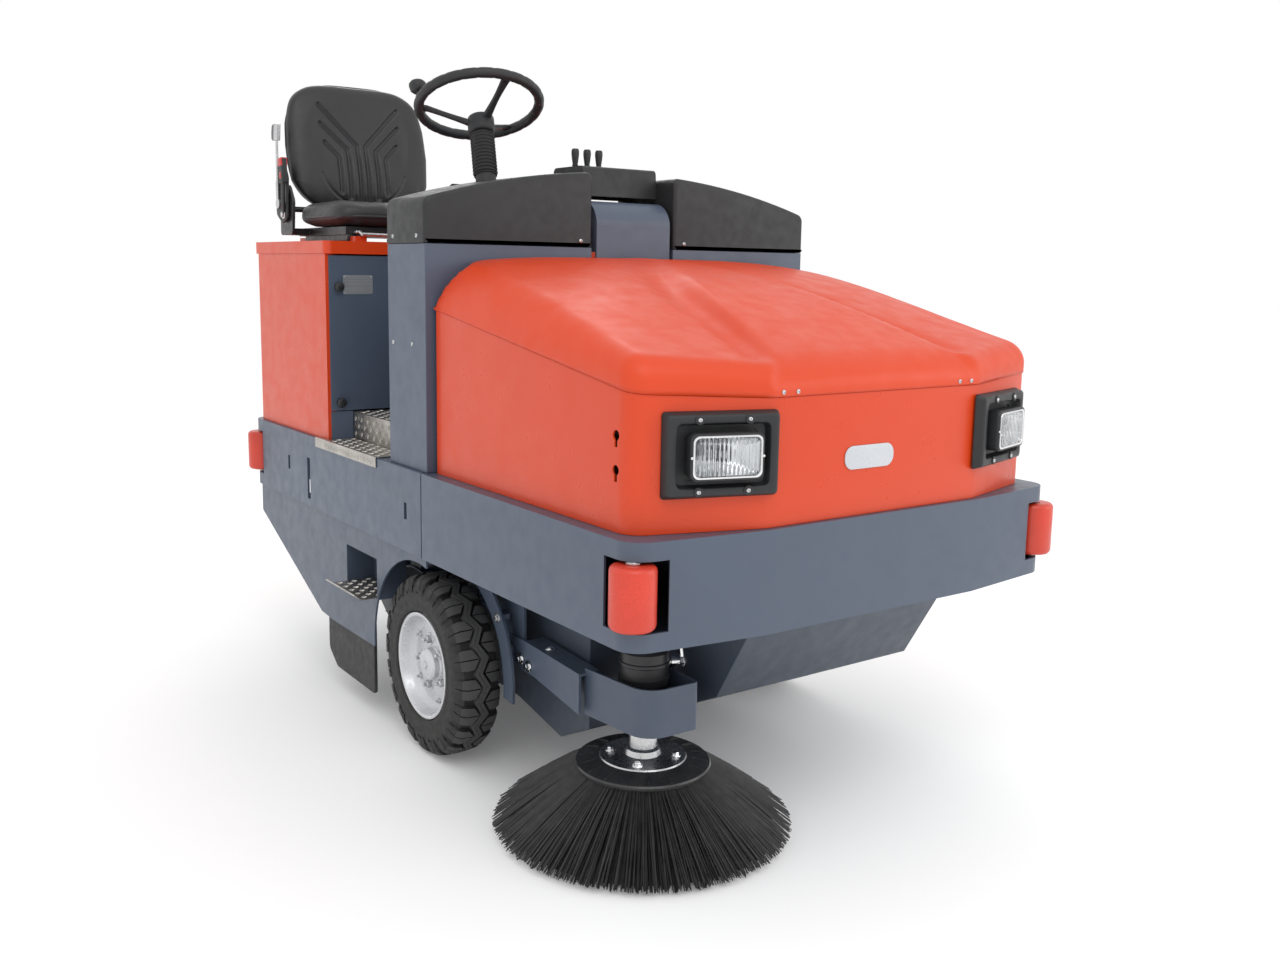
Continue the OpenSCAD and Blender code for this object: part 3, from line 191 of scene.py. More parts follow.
# ---- mesh tools
class Build:
    """Gathers shells in millimetres and makes one piece of them."""

    def __init__(self):
        self.v, self.f, self.m = [], [], []

    def add(self, verts, faces, mat=0):
        n = len(self.v)
        self.v += [tuple(float(c) for c in p) for p in verts]
        self.f += [tuple(i + n for i in f) for f in faces]
        self.m += [mat] * len(faces)
        return self

    def loft(self, rings, mat=0, closed=True, caps=(True, True), loop=False):
        k = len(rings[0])
        verts = [p for r in rings for p in r]
        faces = []
        rows = len(rings) if loop else len(rings) - 1
        for i in range(rows):
            a, b = i * k, ((i + 1) % len(rings)) * k
            for j in range(k if closed else k - 1):
                j2 = (j + 1) % k
                faces.append((a + j, a + j2, b + j2, b + j))
        if closed and not loop:
            if caps[0]:
                faces.append(tuple(range(k))[::-1])
            if caps[1]:
                faces.append(tuple(range((len(rings) - 1) * k, len(rings) * k)))
        return self.add(verts, faces, mat)

    def lathe(self, profile, mtx=None, n=48, mat=0, closed=False):
        """profile: (radius, height) pairs, turned about the local z axis."""
        rings = []
        for r, h in profile:
            r = max(r, 0.01)
            ring = [Vector((r * math.cos(2 * math.pi * i / n), r * math.sin(2 * math.pi * i / n), h))
                for i in range(n)]
            rings.append([tuple((mtx @ p) if mtx else p) for p in ring])
        return self.loft(rings, mat, True, (not closed, not closed), loop=closed)

    def tube(self, path, r, n=10, mat=0, closed=False):
        pts = [Vector(p) for p in path]
        rings = []
        k = len(pts)
        up = None
        for i, p in enumerate(pts):
            a = pts[(i - 1) % k] if closed or i > 0 else p
            b = pts[(i + 1) % k] if closed or i < k - 1 else p
            d = (b - a).normalized()
            if up is None:
                up = d.orthogonal().normalized()
            up = (up - d * up.dot(d)).normalized()
            s = d.cross(up)
            rr = r[i] if isinstance(r, (list, tuple)) else r
            angles = [2 * math.pi * j / n for j in range(n)]
            rings.append([tuple(p + rr * (math.cos(t) * up + math.sin(t) * s)) for t in angles])
        return self.loft(rings, mat, loop=closed)

    def prism(self, poly, axis, a, b, r=0.0, seg=4, mat=0):
        """A 2-D outline (counter-clockwise) drawn out along an axis, its end edges rounded by r."""
        rings = []
        arc = [math.pi / 2 * i / seg for i in range(seg + 1)]
        steps = [(r * (1 - math.sin(t)), a + r * (1 - math.cos(t))) for t in arc] if r else [(0, a)]
        back = [(o, b - (h - a)) for o, h in steps][::-1]
        for o, h in steps + back:
            ring = inset(poly, o) if o > 1e-6 else poly
            rings.append([on_axis(axis, h, u, v) for u, v in ring])
        return self.loft(rings, mat)

    def block(self, x, y, z, r=1.0, mat=0):
        poly = [(x[0], y[0]), (x[1], y[0]), (x[1], y[1]), (x[0], y[1])]
        return self.prism(soften(poly, r), "z", z[0], z[1], r, 2, mat)

    def bolt(self, pos, axis, r=6, h=5, washer=1.5, mat=0, n=6):
        mtx = aim(pos, Vector(axis).normalized())
        if washer:
            self.lathe([(0, 0), (r * 1.45, 0), (r * 1.55, washer * 0.5), (r * 1.45, washer), (0, washer)],
                mtx, 24, mat)
        self.lathe([(0, washer), (r, washer), (r, washer + h * 0.75), (r * 0.82, washer + h),
            (0, washer + h)], mtx, n, mat)
        return self

    def screw(self, pos, axis, r=5, mat=0):
        mtx = aim(pos, Vector(axis).normalized())
        self.lathe([(0, -0.5), (r, -0.5), (r * 0.93, r * 0.28), (r * 0.62, r * 0.52), (r * 0.38, r * 0.58),
                    (r * 0.34, r * 0.1), (0, r * 0.1)], mtx, 20, mat)
        return self

    def make(self, name, body, mats, slot=None, replaces=(), angle=35, smooth=True):
        me = bpy.data.meshes.new(name)
        me.from_pydata([place(p) for p in self.v], [], self.f)
        mats = mats if isinstance(mats, (list, tuple)) else [mats]
        for x in mats:
            me.materials.append(x)
        me.polygons.foreach_set("material_index", self.m)
        o = bpy.data.objects.new(name, me)
        bpy.context.scene.collection.objects.link(o)
        me.validate()
        bm = bmesh.new()
        bm.from_mesh(me)
        bmesh.ops.remove_doubles(bm, verts=bm.verts, dist=1e-6)
        bmesh.ops.recalc_face_normals(bm, faces=bm.faces)
        bm.to_mesh(me)
        bm.free()
        me.polygons.foreach_set("use_smooth", [smooth] * len(me.polygons))
        if smooth:
            me.set_sharp_from_angle(angle=math.radians(angle))
        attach(o, body)
        if replaces:
            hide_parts(*replaces)
        return o


def on_axis(axis, h, u, v):
    return (h, u, v) if axis == "x" else (u, h, v) if axis == "y" else (u, v, h)


def inset(poly, d):
    k = len(poly)
    area = sum(poly[i][0] * poly[(i + 1) % k][1] - poly[(i + 1) % k][0] * poly[i][1] for i in range(k))
    s = 1 if area > 0 else -1
    out = []
    for i in range(k):
        a, b, c = Vector(poly[i - 1]), Vector(poly[i]), Vector(poly[(i + 1) % k])
        n1 = Vector((-(b - a).y, (b - a).x)).normalized() * s
        n2 = Vector((-(c - b).y, (c - b).x)).normalized() * s
        m = (n1 + n2)
        m = m.normalized() if m.length > 1e-6 else n1
        q = b + m * d / max(0.35, m.dot(n1))
        out.append((q.x, q.y))
    return out


def soften(poly, r, n=5):
    """Rounds an outline's corners; r is a radius or one for each corner."""
    k = len(poly)
    out = []
    for i in range(k):
        a, b, c = Vector(poly[i - 1]), Vector(poly[i]), Vector(poly[(i + 1) % k])
        rr = r[i] if isinstance(r, (list, tuple)) else r
        u, w = (a - b), (c - b)
        if rr <= 0 or u.length < 1e-6 or w.length < 1e-6:
            out.append(tuple(b))
            continue
        un, wn = u.normalized(), w.normalized()
        half = un.angle(wn) / 2
        if half > 1.56 or half < 0.02:
            out.append(tuple(b))
            continue
        rr = min(rr, 0.49 * min(u.length, w.length) * math.tan(half))
        ctr = b + (un + wn).normalized() * rr / math.sin(half)
        p, q = b + un * rr / math.tan(half) - ctr, b + wn * rr / math.tan(half) - ctr
        turn = math.atan2(p.x * q.y - p.y * q.x, p.dot(q))
        a0 = math.atan2(p.y, p.x)
        out += [(ctr.x + rr * math.cos(a0 + turn * j / n), ctr.y + rr * math.sin(a0 + turn * j / n))
            for j in range(n + 1)]
    return out


def resample(poly, step):
    pts = [Vector(p) for p in poly]
    out = []
    for i, p in enumerate(pts):
        q = pts[(i + 1) % len(pts)]
        k = max(1, int(round((q - p).length / step)))
        out += [tuple(p.lerp(q, j / k)) for j in range(k)]
    return out


def aim(pos, axis):
    """A frame at pos whose z axis points along axis."""
    return Matrix.Translation(pos) @ Vector(axis).to_track_quat("Z", "Y").to_matrix().to_4x4()


def smoothstep(t):
    t = np.clip(t, 0, 1)
    return t * t * (3 - 2 * t)


def turn(pos, rx=0.0, ry=0.0, rz=0.0):
    return (Matrix.Translation(pos) @ Matrix.Rotation(math.radians(rz), 4, "Z")
            @ Matrix.Rotation(math.radians(ry), 4, "Y") @ Matrix.Rotation(math.radians(rx), 4, "X"))


# ---- CAD nodes that stay, with their finish
def finish_node(name, mat):
    o = nodes[name]
    me = o.data
    if "custom_normal" in me.attributes:
        me.attributes.remove(me.attributes["custom_normal"])
    me.materials.clear()
    me.materials.append(mat)
    me.polygons.foreach_set("material_index", [0] * len(me.polygons))
    me.polygons.foreach_set("use_smooth", [True] * len(me.polygons))
    w = o.modifiers.new("weld", "WELD")
    w.merge_threshold = 0.00002
    d = o.modifiers.new("planar", "DECIMATE")
    d.decimate_type = "DISSOLVE"
    d.angle_limit = math.radians(0.5)
    b = o.modifiers.new("bevel", "BEVEL")
    b.width = 0.0016
    b.segments = 2
    b.limit_method = "ANGLE"
    b.angle_limit = math.radians(40)
    b.use_clamp_overlap = True
    n = o.modifiers.new("normals", "WEIGHTED_NORMAL")
    n.keep_sharp = True


for names, mat in (
    ("rear_frame right_side_plate left_side_plate right_tower left_tower tank_cover battery_door "
     "broom_housing broom_arms hopper_frame lift_arm brush_arm", SLATE),
    ("hopper_bin rear_fork", DARKS),
    ("rear_body_shell seat_deck hopper_cover", ORANGE),
    ("lever_console main_broom_core upper_door_latch lower_door_latch", PLASTIC),
    ("seat_frame lift_cylinder brush_motor drive_pedal brake_pedal", METALB),
    ("broom_side_flaps", RUBBER),
    ("lift_pivot_shaft lift_cylinder_rod recline_lever hydraulic_power_unit", ZINC),
    ("boarding_step tread_plates", TREAD),
    ("dust_filter", FILTER),
    ("traction_battery", CELLS),
):
    for name in names.split():
        finish_node(name, mat)

# ---- hood
HALF, LEN, CB, CX, BR = 523, 860, 72, 277, -66
SEAM_R, SEAM_F = 1014, 890


def seam_z(y):
    return SEAM_R + (SEAM_F - SEAM_R) * (y - BR) / (-LEN - BR)


def box_outline(ins, crease=14):
    x = HALF - ins
    fy, cy, ry = -LEN + ins, -LEN + CB + ins, BR - ins
    return soften([(-x, ry), (-x, cy), (-CX + 2, fy), (CX - 2, fy), (x, cy), (x, ry)][::-1],
                  [6, 44 - ins, crease, crease, 44 - ins, 6][::-1], 8)


SIDE_FIT = np.polyfit([-815, -780, -700, -620, -540, -450, -350, -250, -150, -66],
                      [954, 965, 988, 1010, 1034, 1061, 1089, 1111, 1125, 1131], 3)
MID_FIT = np.polyfit([-860, -780, -700, -620, -540, -450, -350, -250, -150, -66],
                     [944, 976, 1006, 1032, 1056, 1081, 1104, 1120, 1129, 1133], 3)
CREASE_Y = [-870, -850, -835, -780, -700, -620, -540, -450, -250, -66]
CREASE_X = [292, 262, 247, 233, 213, 195, 180, 161, 100, 60]


def outline_distance(x, y, outline):
    """Distance of each point to the hood's outline, which is a closed line."""
    best = np.full(x.shape, 1e9)
    for (ax, ay), (bx, by) in zip(outline, outline[1:] + outline[:1]):
        dx, dy = bx - ax, by - ay
        t = np.clip(((x - ax) * dx + (y - ay) * dy) / (dx * dx + dy * dy), 0, 1)
        best = np.minimum(best, np.hypot(x - ax - t * dx, y - ay - t * dy))
    return best


def hood_height(x, y, d):
    """Side panels with a raised middle panel, rounded down at the edges; d is the distance to the outline."""
    ax = np.abs(x)
    side = np.polyval(SIDE_FIT, y) - 13 * (ax / 436) ** 4 * smoothstep((y + 900) / 700)
    mid = np.polyval(MID_FIT, y) - 4 * (ax / 240) ** 2
    crease = np.interp(y, CREASE_Y, CREASE_X)
    width = np.interp(y, [-860, -800, -600, -300, -66], [20, 22, 34, 70, 90])
    t = smoothstep((crease + 6 - ax) / width)
    hollow = 8 * np.exp(-((ax - crease - 24) / 30) ** 2)
    hollow = hollow * smoothstep((y + 840) / 50) * smoothstep((-200 - y) / 350)
    top = side * (1 - t) + mid * t - hollow
    # the rim rounds down over a by b, as a quarter ellipse
    lateral = smoothstep((ax - 400) / 100)
    a = lateral * np.interp(y, [-860, -760, -450, -66], [36, 40, 62, 90]) + (1 - lateral) * (36 + 24 * t)
    b = lateral * np.interp(y, [-860, -760, -450, -66], [36, 40, 76, 110]) + (1 - lateral) * (36 + 4 * t)
    back = smoothstep((y + 106) / 30) * (1 - lateral)
    a, b = a * (1 - back) + 8 * back, b * (1 - back) + 8 * back
    q = np.clip((a - d) / a, 0, 1)
    return np.maximum(top - b * (1 - np.sqrt(1 - q * q)), seam_z(y) + 5)


def hood():
    outline = box_outline(-2)
    half = HALF + 2
    # columns run from the front edge to the back, closer together at the sides
    edge = [half - 90 * (1 - math.cos(math.pi / 2 * i / 16)) for i in range(17)]
    cols = edge + list(np.linspace(edge[-1], 0, 56)[1:])
    cols = np.array([-c for c in cols] + cols[-2::-1])
    front = sorted((x, y) for x, y in outline if y < -700)
    side_y = max(y for x, y in front if abs(x) > half - 1)
    fx, fy = [p[0] for p in front], [p[1] for p in front]
    y0 = np.interp(np.clip(cols, -half + 0.02, half - 0.02), fx, fy)
    y0[0] = y0[-1] = side_y
    y1 = BR + 2
    rows = [0] + [60 * (1 - math.cos(math.pi / 2 * i / 14)) for i in range(1, 15)]
    body = np.linspace(0, 1, 64)[1:]
    X, Y = [], []
    for c, ys in zip(cols, y0):
        ys_all = [ys + r for r in rows]
        y_in = ys_all[-1]
        ys_all += [y_in + (y1 - 8 - y_in) * s for s in body]
        ys_all += [y1 - 8 + 8 * math.sin(math.pi / 2 * i / 4) for i in range(1, 5)]
        X.append([c] * len(ys_all))
        Y.append(ys_all)
    X, Y = np.array(X), np.array(Y)
    D = outline_distance(X, Y, outline)
    D[0], D[-1], D[:, 0], D[:, -1] = 0, 0, 0, 0
    Z = hood_height(X, Y, D)
    n, m = X.shape
    verts = [(X[i, j], Y[i, j], Z[i, j]) for i in range(n) for j in range(m)]
    faces = [(i * m + j, (i + 1) * m + j, (i + 1) * m + j + 1, i * m + j + 1) for i in range(n - 1)
        for j in range(m - 1)]
    b = Build()
    b.add(verts, faces)
    rim = [i * m for i in range(n)] + [(n - 1) * m + j for j in range(1, m)]
    rim += [i * m + m - 1 for i in range(n - 2, -1, -1)] + [j for j in range(m - 2, 0, -1)]
    top = [verts[k] for k in rim]
    walls = [[(x, y, z + (seam_z(y) + 1 - z) * s) for x, y, z in top] for s in (0, 0.5, 1)]
    b.loft(walls, caps=(False, False))
    o = b.make("hood_shell", "hood", MOULD, "orange_moulding", ["hood"], smooth=True, angle=50)
    so = o.modifiers.new("thick", "SOLIDIFY")
    so.thickness = 0.005
    so.offset = -1
    s = Build()
    for sx in (-1, 1):
        for dx in (-17, 17):
            s.screw((sx * 232 + dx, -LEN - 2, 899), (0, -1, 0), 4.5)
    s.make("hood_hinge_screws", "hood", ZINC, "zinc_steel")


hood()

# ---- tower covers and console
TOP = 1154
ARCH = (541 ** 2 + 78 ** 2) / (2 * 78)


def arch_z(x):
    return TOP + 174 - ARCH + math.sqrt(ARCH * ARCH - x * x)


def cover(side, name, node):
    x0, x1 = 118, 543
    pts = [(x0, TOP + 0.5)] + [(x1, TOP + 0.5)] + [(x1 - (x1 - x0) * i / 14, arch_z(x1 - (x1 - x0) * i / 14))
        for i in range(15)]
    poly = soften(pts, [1, 1, 22] + [0] * 13 + [16], 7)
    poly = [(side * x, z) for x, z in poly]
    if side < 0:
        poly = poly[::-1]
    b = Build()
    b.prism(resample(poly, 14), "y", -58, 137, 9, 6)
    if side < 0:
        dash = soften([(132, TOP + 0.5), (214, TOP + 20), (194, TOP + 118), (132, TOP + 140)], [0, 14, 14, 0])
        b.prism(dash, "x", -385, -165, 6, 4)
        for x in (-345, -300, -210):
            b.lathe([(0, 0), (11, 0), (11, 3), (8, 5), (0, 5)], turn((x, 206, TOP + 62), rx=-78.5), 24, 1)
    b.make(name, "chassis", [PLASTIC, METALB], "black_plastic", [node], angle=38)
    s = Build()
    s.screw((side * 150, -58.2, TOP + 14), (0, -1, 0), 5)
    s.screw((side * 543.2, -20, TOP + 16), (side, 0, 0), 5)
    s.screw((side * 543.2, 100, TOP + 16), (side, 0, 0), 5)
    s.screw((side * 541.2, 108, 936), (side, 0, 0), 5)
    s.screw((side * 541.2, 11, 937), (side, 0, 0), 5)
    s.make(name + "_screws", "chassis", ZINC, "zinc_steel")


cover(-1, "right_cover_moulding", "right_tower_cover")
cover(1, "left_cover_moulding", "left_tower_cover")

for i, n in enumerate(("hopper_lever", "broom_lever", "side_brush_lever")):
    b = Build()
    m = Matrix.Translation((-76 + 34 * i, 84, 1328))
    b.lathe([(0, 0), (4, 0), (4, 24), (6.2, 25), (8.4, 40), (9.4, 50), (9.2, 57), (7.2, 61.5), (0, 62)], m,
        28, 1)
    b.lathe([(0, -11), (12.2, -11), (12.7, -10), (12.7, 10), (12.2, 11), (0, 11)],
        m @ Matrix.Rotation(math.pi / 2, 4, "Y"), 28, 0)
    b.lathe([(5.5, 16), (10, 16), (9, 19), (6.5, 20), (7.5, 23), (5.5, 26)], m, 24, 0)
    b.make(n + "_knob", n, [RUBBER, PLASTIC], "black_plastic", [n])

# ---- steering
COL = turn((SEAT_X, 196, 1484), rx=-22, ry=7)
HUB_LOW, HUB_TOP = -74, -32


def steering():
    b = Build()
    R, r = 142, 12
    rings = []
    for i in range(120):
        a = 2 * math.pi * i / 120
        grip = r - 0.9 * max(0, math.cos(a * 24)) ** 3
        ring = []
        for t in [2 * math.pi * j / 16 for j in range(16)]:
            out = R + grip * math.cos(t)
            ring.append(tuple(COL @ Vector((out * math.cos(a), out * math.sin(a), grip * math.sin(t)))))
        rings.append(ring)
    b.loft(rings, loop=True)
    b.lathe([(0, HUB_LOW), (24, HUB_LOW), (29, HUB_LOW + 3), (31.5, HUB_LOW + 12), (31.5, HUB_TOP - 6),
        (30, HUB_TOP - 2), (27.5, HUB_TOP), (26, HUB_TOP - 0.5), (25.4, HUB_TOP - 2.4), (24.2, HUB_TOP - 2.4),
        (23.4, HUB_TOP), (14, HUB_TOP + 0.8), (0, HUB_TOP + 1)], COL, 48)
    for a in (30, 150, 270):
        rings = []
        for i in range(13):
            s = i / 12
            x = 24 + (R - 24) * s
            z = (HUB_TOP - 14) * (1 - min(1, s / 0.86))
            w = 12 - 4.5 * math.sin(math.pi * min(1, s * 1.1)) + (3 if s > 0.93 else 0)
            h = 6.5 - 1.5 * s
            ring = []
            for j in range(14):
                t = 2 * math.pi * j / 14
                p = Vector((x, w * math.copysign(abs(math.cos(t)) ** 0.7, math.cos(t)),
                    z + h * math.copysign(abs(math.sin(t)) ** 0.7, math.sin(t))))
                ring.append(tuple(COL @ Matrix.Rotation(math.radians(a), 4, "Z") @ p))
            rings.append(ring)
        b.loft(rings)
    k = COL @ Matrix.Rotation(math.radians(160), 4, "Z") @ Matrix.Translation((R, 0, 8))
    b.lathe([(0, 0), (6, 0), (6, 19), (13, 20), (18, 25), (20.5, 34), (20.5, 40), (17, 45), (9, 46.5),
        (0, 47)], k, 32)
    b.make("wheel_moulding", "steering_wheel", PLASTIC, "black_plastic", ["steering_wheel"], angle=50)
    c = Build()
    prof = [(0, -330), (24, -330), (24, -184), (27, -183), (27, -181)]
    rib = (HUB_LOW - 2 + 181) / 12
    for i in range(12):
        h = -181 + rib * i
        prof += [(r, h + rib * f) for f, r in ((0.1, 24.5), (0.28, 26.5), (0.46, 29), (0.56, 29),
            (0.74, 26.5), (0.9, 24.5))]
    prof += [(24, HUB_LOW - 1.5), (22, HUB_LOW - 0.5), (0, HUB_LOW - 0.5)]
    c.lathe(prof, COL, 40)
    c.make("column_bellows", "chassis", RUBBER, "black_plastic", ["steering_column"], angle=60)


steering()


# ---- tyres and rims
def tyre_and_rim(cx, cy, side, body, tyre_node, rim_node, tname, rear=False):
    m = Matrix.Translation((cx, cy, AXLE_Z)) @ Matrix.Rotation(side * math.pi / 2, 4, "Y")

    def crown(t):
        t = abs(t)
        return float(np.interp(t, [0, 30, 40, 46, 50, 52.5, 53], [208, 207.2, 203.5, 198, 186, 174, 150]))

    def at(a, t, lift):
        r = crown(t) + lift
        return tuple(m @ Vector((r * math.cos(a), r * math.sin(a), t)))

    b = Build()
    prof = [(119, -41), (128, -50.5), (134, -52), (139, -50.8), (146, -51), (160, -52), (174, -50.5),
        (188, -46), (196, -40), (198, -30), (198, 30), (196, 40), (188, 46), (174, 50.5), (160, 52),
        (146, 51), (139, 50.8), (134, 52), (128, 50.5), (119, 41)]
    b.lathe(prof, m, 120, closed=True)
    N = 20
    D = math.radians
    for i in range(N):
        for s in (1, -1):
            a0 = D(18 * i + (9 if s < 0 else 0))
            for half in (-1, 1):
                # each pentagon is split in two by its sipe
                edge = [(0.35, 5.2), (6.0, 19), (6.3, 34), (6.1, 46), (5.6, 50), (5.3, 52.3), (0.35, 52.3),
                    (0.35, 46), (0.35, 34)]
                top, bot = [], []
                for q, t in edge:
                    top.append(at(a0 + half * D(q), s * t, 0))
                    bot.append(at(a0 + half * D(q + (0.45 if q > 1 else 0)), s * (t - (1.0 if t < 30 else 0)),
                        -12 if t < 47 else -3))
                k = len(edge)
                strip = [(0, 1, 8), (8, 1, 2), (8, 2, 7), (7, 2, 3), (7, 3, 4), (7, 4, 6), (6, 4, 5)]
                faces = strip + [(j, (j + 1) % k, k + (j + 1) % k, k + j) for j in range(k)]
                b.add(top + bot, faces)
                b.m[-len(faces):] = [1] * 4 + [0] * (len(faces) - 4)
    # zig-zag rib round the middle
    rib = []
    for i in range(2 * N):
        a = D(9 * i)
        c = -9.5 if i % 2 == 0 else 9.5
        rib.append([at(a, c - 10, -12), at(a, c - 8.6, 0), at(a, c - 0.8, 0), at(a, c, -1.6),
            at(a, c + 0.8, 0), at(a, c + 8.6, 0), at(a, c + 10, -12)])
    b.loft(rib, 1, closed=False, loop=True)
    # small lugs round each sidewall
    for s in (-1, 1):
        for i in range(2 * N):
            a = D(9 * i + 4.5)
            v = [tuple(m @ Vector((r * math.cos(a + q), r * math.sin(a + q), s * h))) for r, h in ((166, 50),
                (176, 50.4)) for q in (-0.012, 0.012)]
            w = [tuple(m @ Vector((r * math.cos(a + q), r * math.sin(a + q), s * h)))
                for r, h in ((167, 52.6), (175, 52.6)) for q in (-0.009, 0.009)]
            b.add(v + w, [(4, 5, 7, 6), (0, 1, 5, 4), (2, 3, 7, 6), (0, 2, 6, 4), (1, 3, 7, 5)])
    b.make(tname + "_tread", body, [TYRE, WORN], "tyre", [tyre_node], angle=32)
    r = Build()
    if not rear:
        r.lathe([(119, -41), (119, 41), (122, 45), (121.5, 48.5), (118, 49.8), (114, 48), (111, 42),
            (108, 30), (101, 19), (92, 14.5), (74, 15.5), (66, 17), (40, 17), (37, 20), (36.5, 32), (33, 36),
            (20, 38), (0, 38.5), (0, 30), (24, 28), (24, -40), (44, -44), (48, 8), (90, 6), (104, 0),
            (108, -38), (114, -46)], m, 96)
        r.bolt(tuple(m @ Vector((0, 0, 37))), tuple((m.to_3x3() @ Vector((0, 0, 1)))), 9, 5, 0)
        for i in range(5):
            a = D(72 * i + 18)
            p = m @ Vector((56 * math.cos(a), 56 * math.sin(a), 16))
            ax = m.to_3x3() @ Vector((0, 0, 1))
            r.bolt(tuple(p), tuple(ax), 9.5, 10, 2.5, 1)
            r.lathe([(0, 0), (4.5, 0), (4.5, 19), (3.6, 20), (0, 20)], aim(p, ax), 14, 1)
            a = D(72 * i + 54)
            p = m @ Vector((86 * math.cos(a), 86 * math.sin(a), 14))
            r.bolt(tuple(p), tuple(ax), 6, 5, 1.5, 1)
            r.lathe([(0, 0), (3, 0), (3, 12), (0, 12)], aim(p, ax), 12, 1)
    else:
        r.lathe([(119, -41), (119, 41), (118, 46), (112, 44), (109, 39), (108, 8), (34, 6.5), (34, 48),
            (18.2, 48), (18.2, -48), (34, -48), (34, -6.5), (108, -8), (109, -39), (112, -44), (118, -46)], m,
            72, closed=True)
    r.make(tname + "_rim", body, [SILVER, ZINC], "rim_silver", [rim_node], angle=34)


tyre_and_rim(-WHEEL_X, 0, -1, "right_front_wheel", "right_front_tyre", "right_front_rim", "right_wheel")
tyre_and_rim(WHEEL_X, 0, 1, "left_front_wheel", "left_front_tyre", "left_front_rim", "left_wheel")
tyre_and_rim(0, REAR_WHEEL_Y, -1, "rear_wheel", "rear_tyre", "rear_rim", "steered_wheel", rear=True)


# ---- side brush
def side_brush():
    c = Matrix.Translation((BRUSH_X, BRUSH_Y, 0))
    b = Build()
    b.lathe([(0, 127), (133, 127), (136, 129), (136.5, 134), (134, 137.5), (126, 138.5), (118, 141),
        (96, 143), (92, 145), (0, 145)], c, 96, 0)
    for i in range(18):
        m = c @ Matrix.Rotation(2 * math.pi * i / 18, 4, "Z")
        b.add([tuple(m @ Vector(p)) for p in ((98, -1.2, 142), (98, 1.2, 142), (130, 1.2, 138),
            (130, -1.2, 138), (99, -1, 146), (99, 1, 146), (128, 1, 140), (128, -1, 140))],
            [(4, 5, 6, 7), (0, 1, 5, 4), (1, 2, 6, 5), (2, 3, 7, 6), (3, 0, 4, 7)], 0)
    b.lathe([(0, 145), (86, 145), (88, 146.5), (86, 149), (40, 149.5), (37, 151), (34, 162), (28, 166),
        (28, 192), (26, 196), (0, 197)], c, 72, 1)
    for i in range(4):
        a = math.pi / 4 + math.pi / 2 * i
        b.bolt((BRUSH_X + 66 * math.cos(a), BRUSH_Y + 66 * math.sin(a), 149), (0, 0, 1), 7, 6, 2, 2)
    b.make("side_brush_flange", "side_brush", [DISC, ZINC, CHROME], "zinc_steel", ["side_brush_disc"],
        angle=34)
    f = Build()
    rng = random.Random(11)
    for k in range(2300):
        a = 2 * math.pi * k * 0.6180339 + rng.uniform(-0.02, 0.02)
        layer = k % 4
        r0 = (131, 124, 117, 111)[layer] + rng.uniform(-2, 2)
        r1 = (299, 286, 268, 246)[layer] + rng.uniform(-5, 1.5)
        z1 = (10, 4, 1, 0)[layer] + rng.uniform(0, 4)
        if layer == 0:
            z1 += rng.uniform(0, 9)
        z0 = 129
        da = rng.gauss(0, 0.020)
        w = rng.uniform(1.2, 1.9)
        pts = []
        for s in (0, 0.3, 0.62, 1.0):
            r = r0 + (r1 - r0) * s
            z = z0 + (z1 - z0) * (s ** 1.12)
            aa = a + da * s
            pts.append((Vector((r * math.cos(aa), r * math.sin(aa), z)), aa))
        rings = []
        for j, (p, aa) in enumerate(pts):
            t = Vector((-math.sin(aa), math.cos(aa), 0))
            u = Vector((math.cos(aa) * 0.6, math.sin(aa) * 0.6, 0.8))
            ww = w * (1 if j < 3 else 0.75)
            rings.append([tuple(c @ (p + t * ww)), tuple(c @ (p - t * ww)), tuple(c @ (p + u * ww * 1.4))])
        f.loft(rings)
    f.lathe([(108, 129), (112, 100), (180, 8), (236, 1), (262, 6), (136, 122), (133, 129)], c, 72)
    f.make("side_brush_filaments", "side_brush", BRISTLE, "bristle", ["side_brush_bristles"], smooth=False)


side_brush()


def main_broom():
    f = Build()
    rng = random.Random(5)
    f.lathe([(70.2, -374), (118, -374), (118, 374), (70.2, 374)],
        Matrix.Translation((0, BROOM_Y, BROOM_Z)) @ Matrix.Rotation(math.pi / 2, 4, "Y"), 40, closed=True)
    for row in range(22):
        for k in range(50):
            x = -372 + 15 * k
            a = 2 * math.pi * row / 22 + 0.5 * math.sin(k / 49 * math.pi) + rng.uniform(-0.02, 0.02)
            d = Vector((rng.uniform(-0.03, 0.03), math.cos(a), math.sin(a)))
            t = Vector((1, 0, 0))
            q = d.cross(t).normalized()
            base = Vector((x, BROOM_Y, BROOM_Z))
            L = 158 + rng.uniform(-3, 1.5)
            p0, p1 = base + d * 100, base + d * L
            f.loft([[tuple(p0 + t * 3 + q * 2), tuple(p0 - t * 3 + q * 2), tuple(p0 - q * 3)],
                    [tuple(p1 + t * 7 + q * 5), tuple(p1 - t * 7 + q * 5), tuple(p1 - q * 6)]])
    f.make("main_broom_filaments", "main_broom", BRISTLE, "bristle", ["main_broom_bristles"], smooth=False)


main_broom()


# ---- headlights
FA = math.atan2(72, 523 - 277)
HX, HZ = 366, 796
HY = -860 + 72 * (HX - 277) / (523 - 277) - 0.3


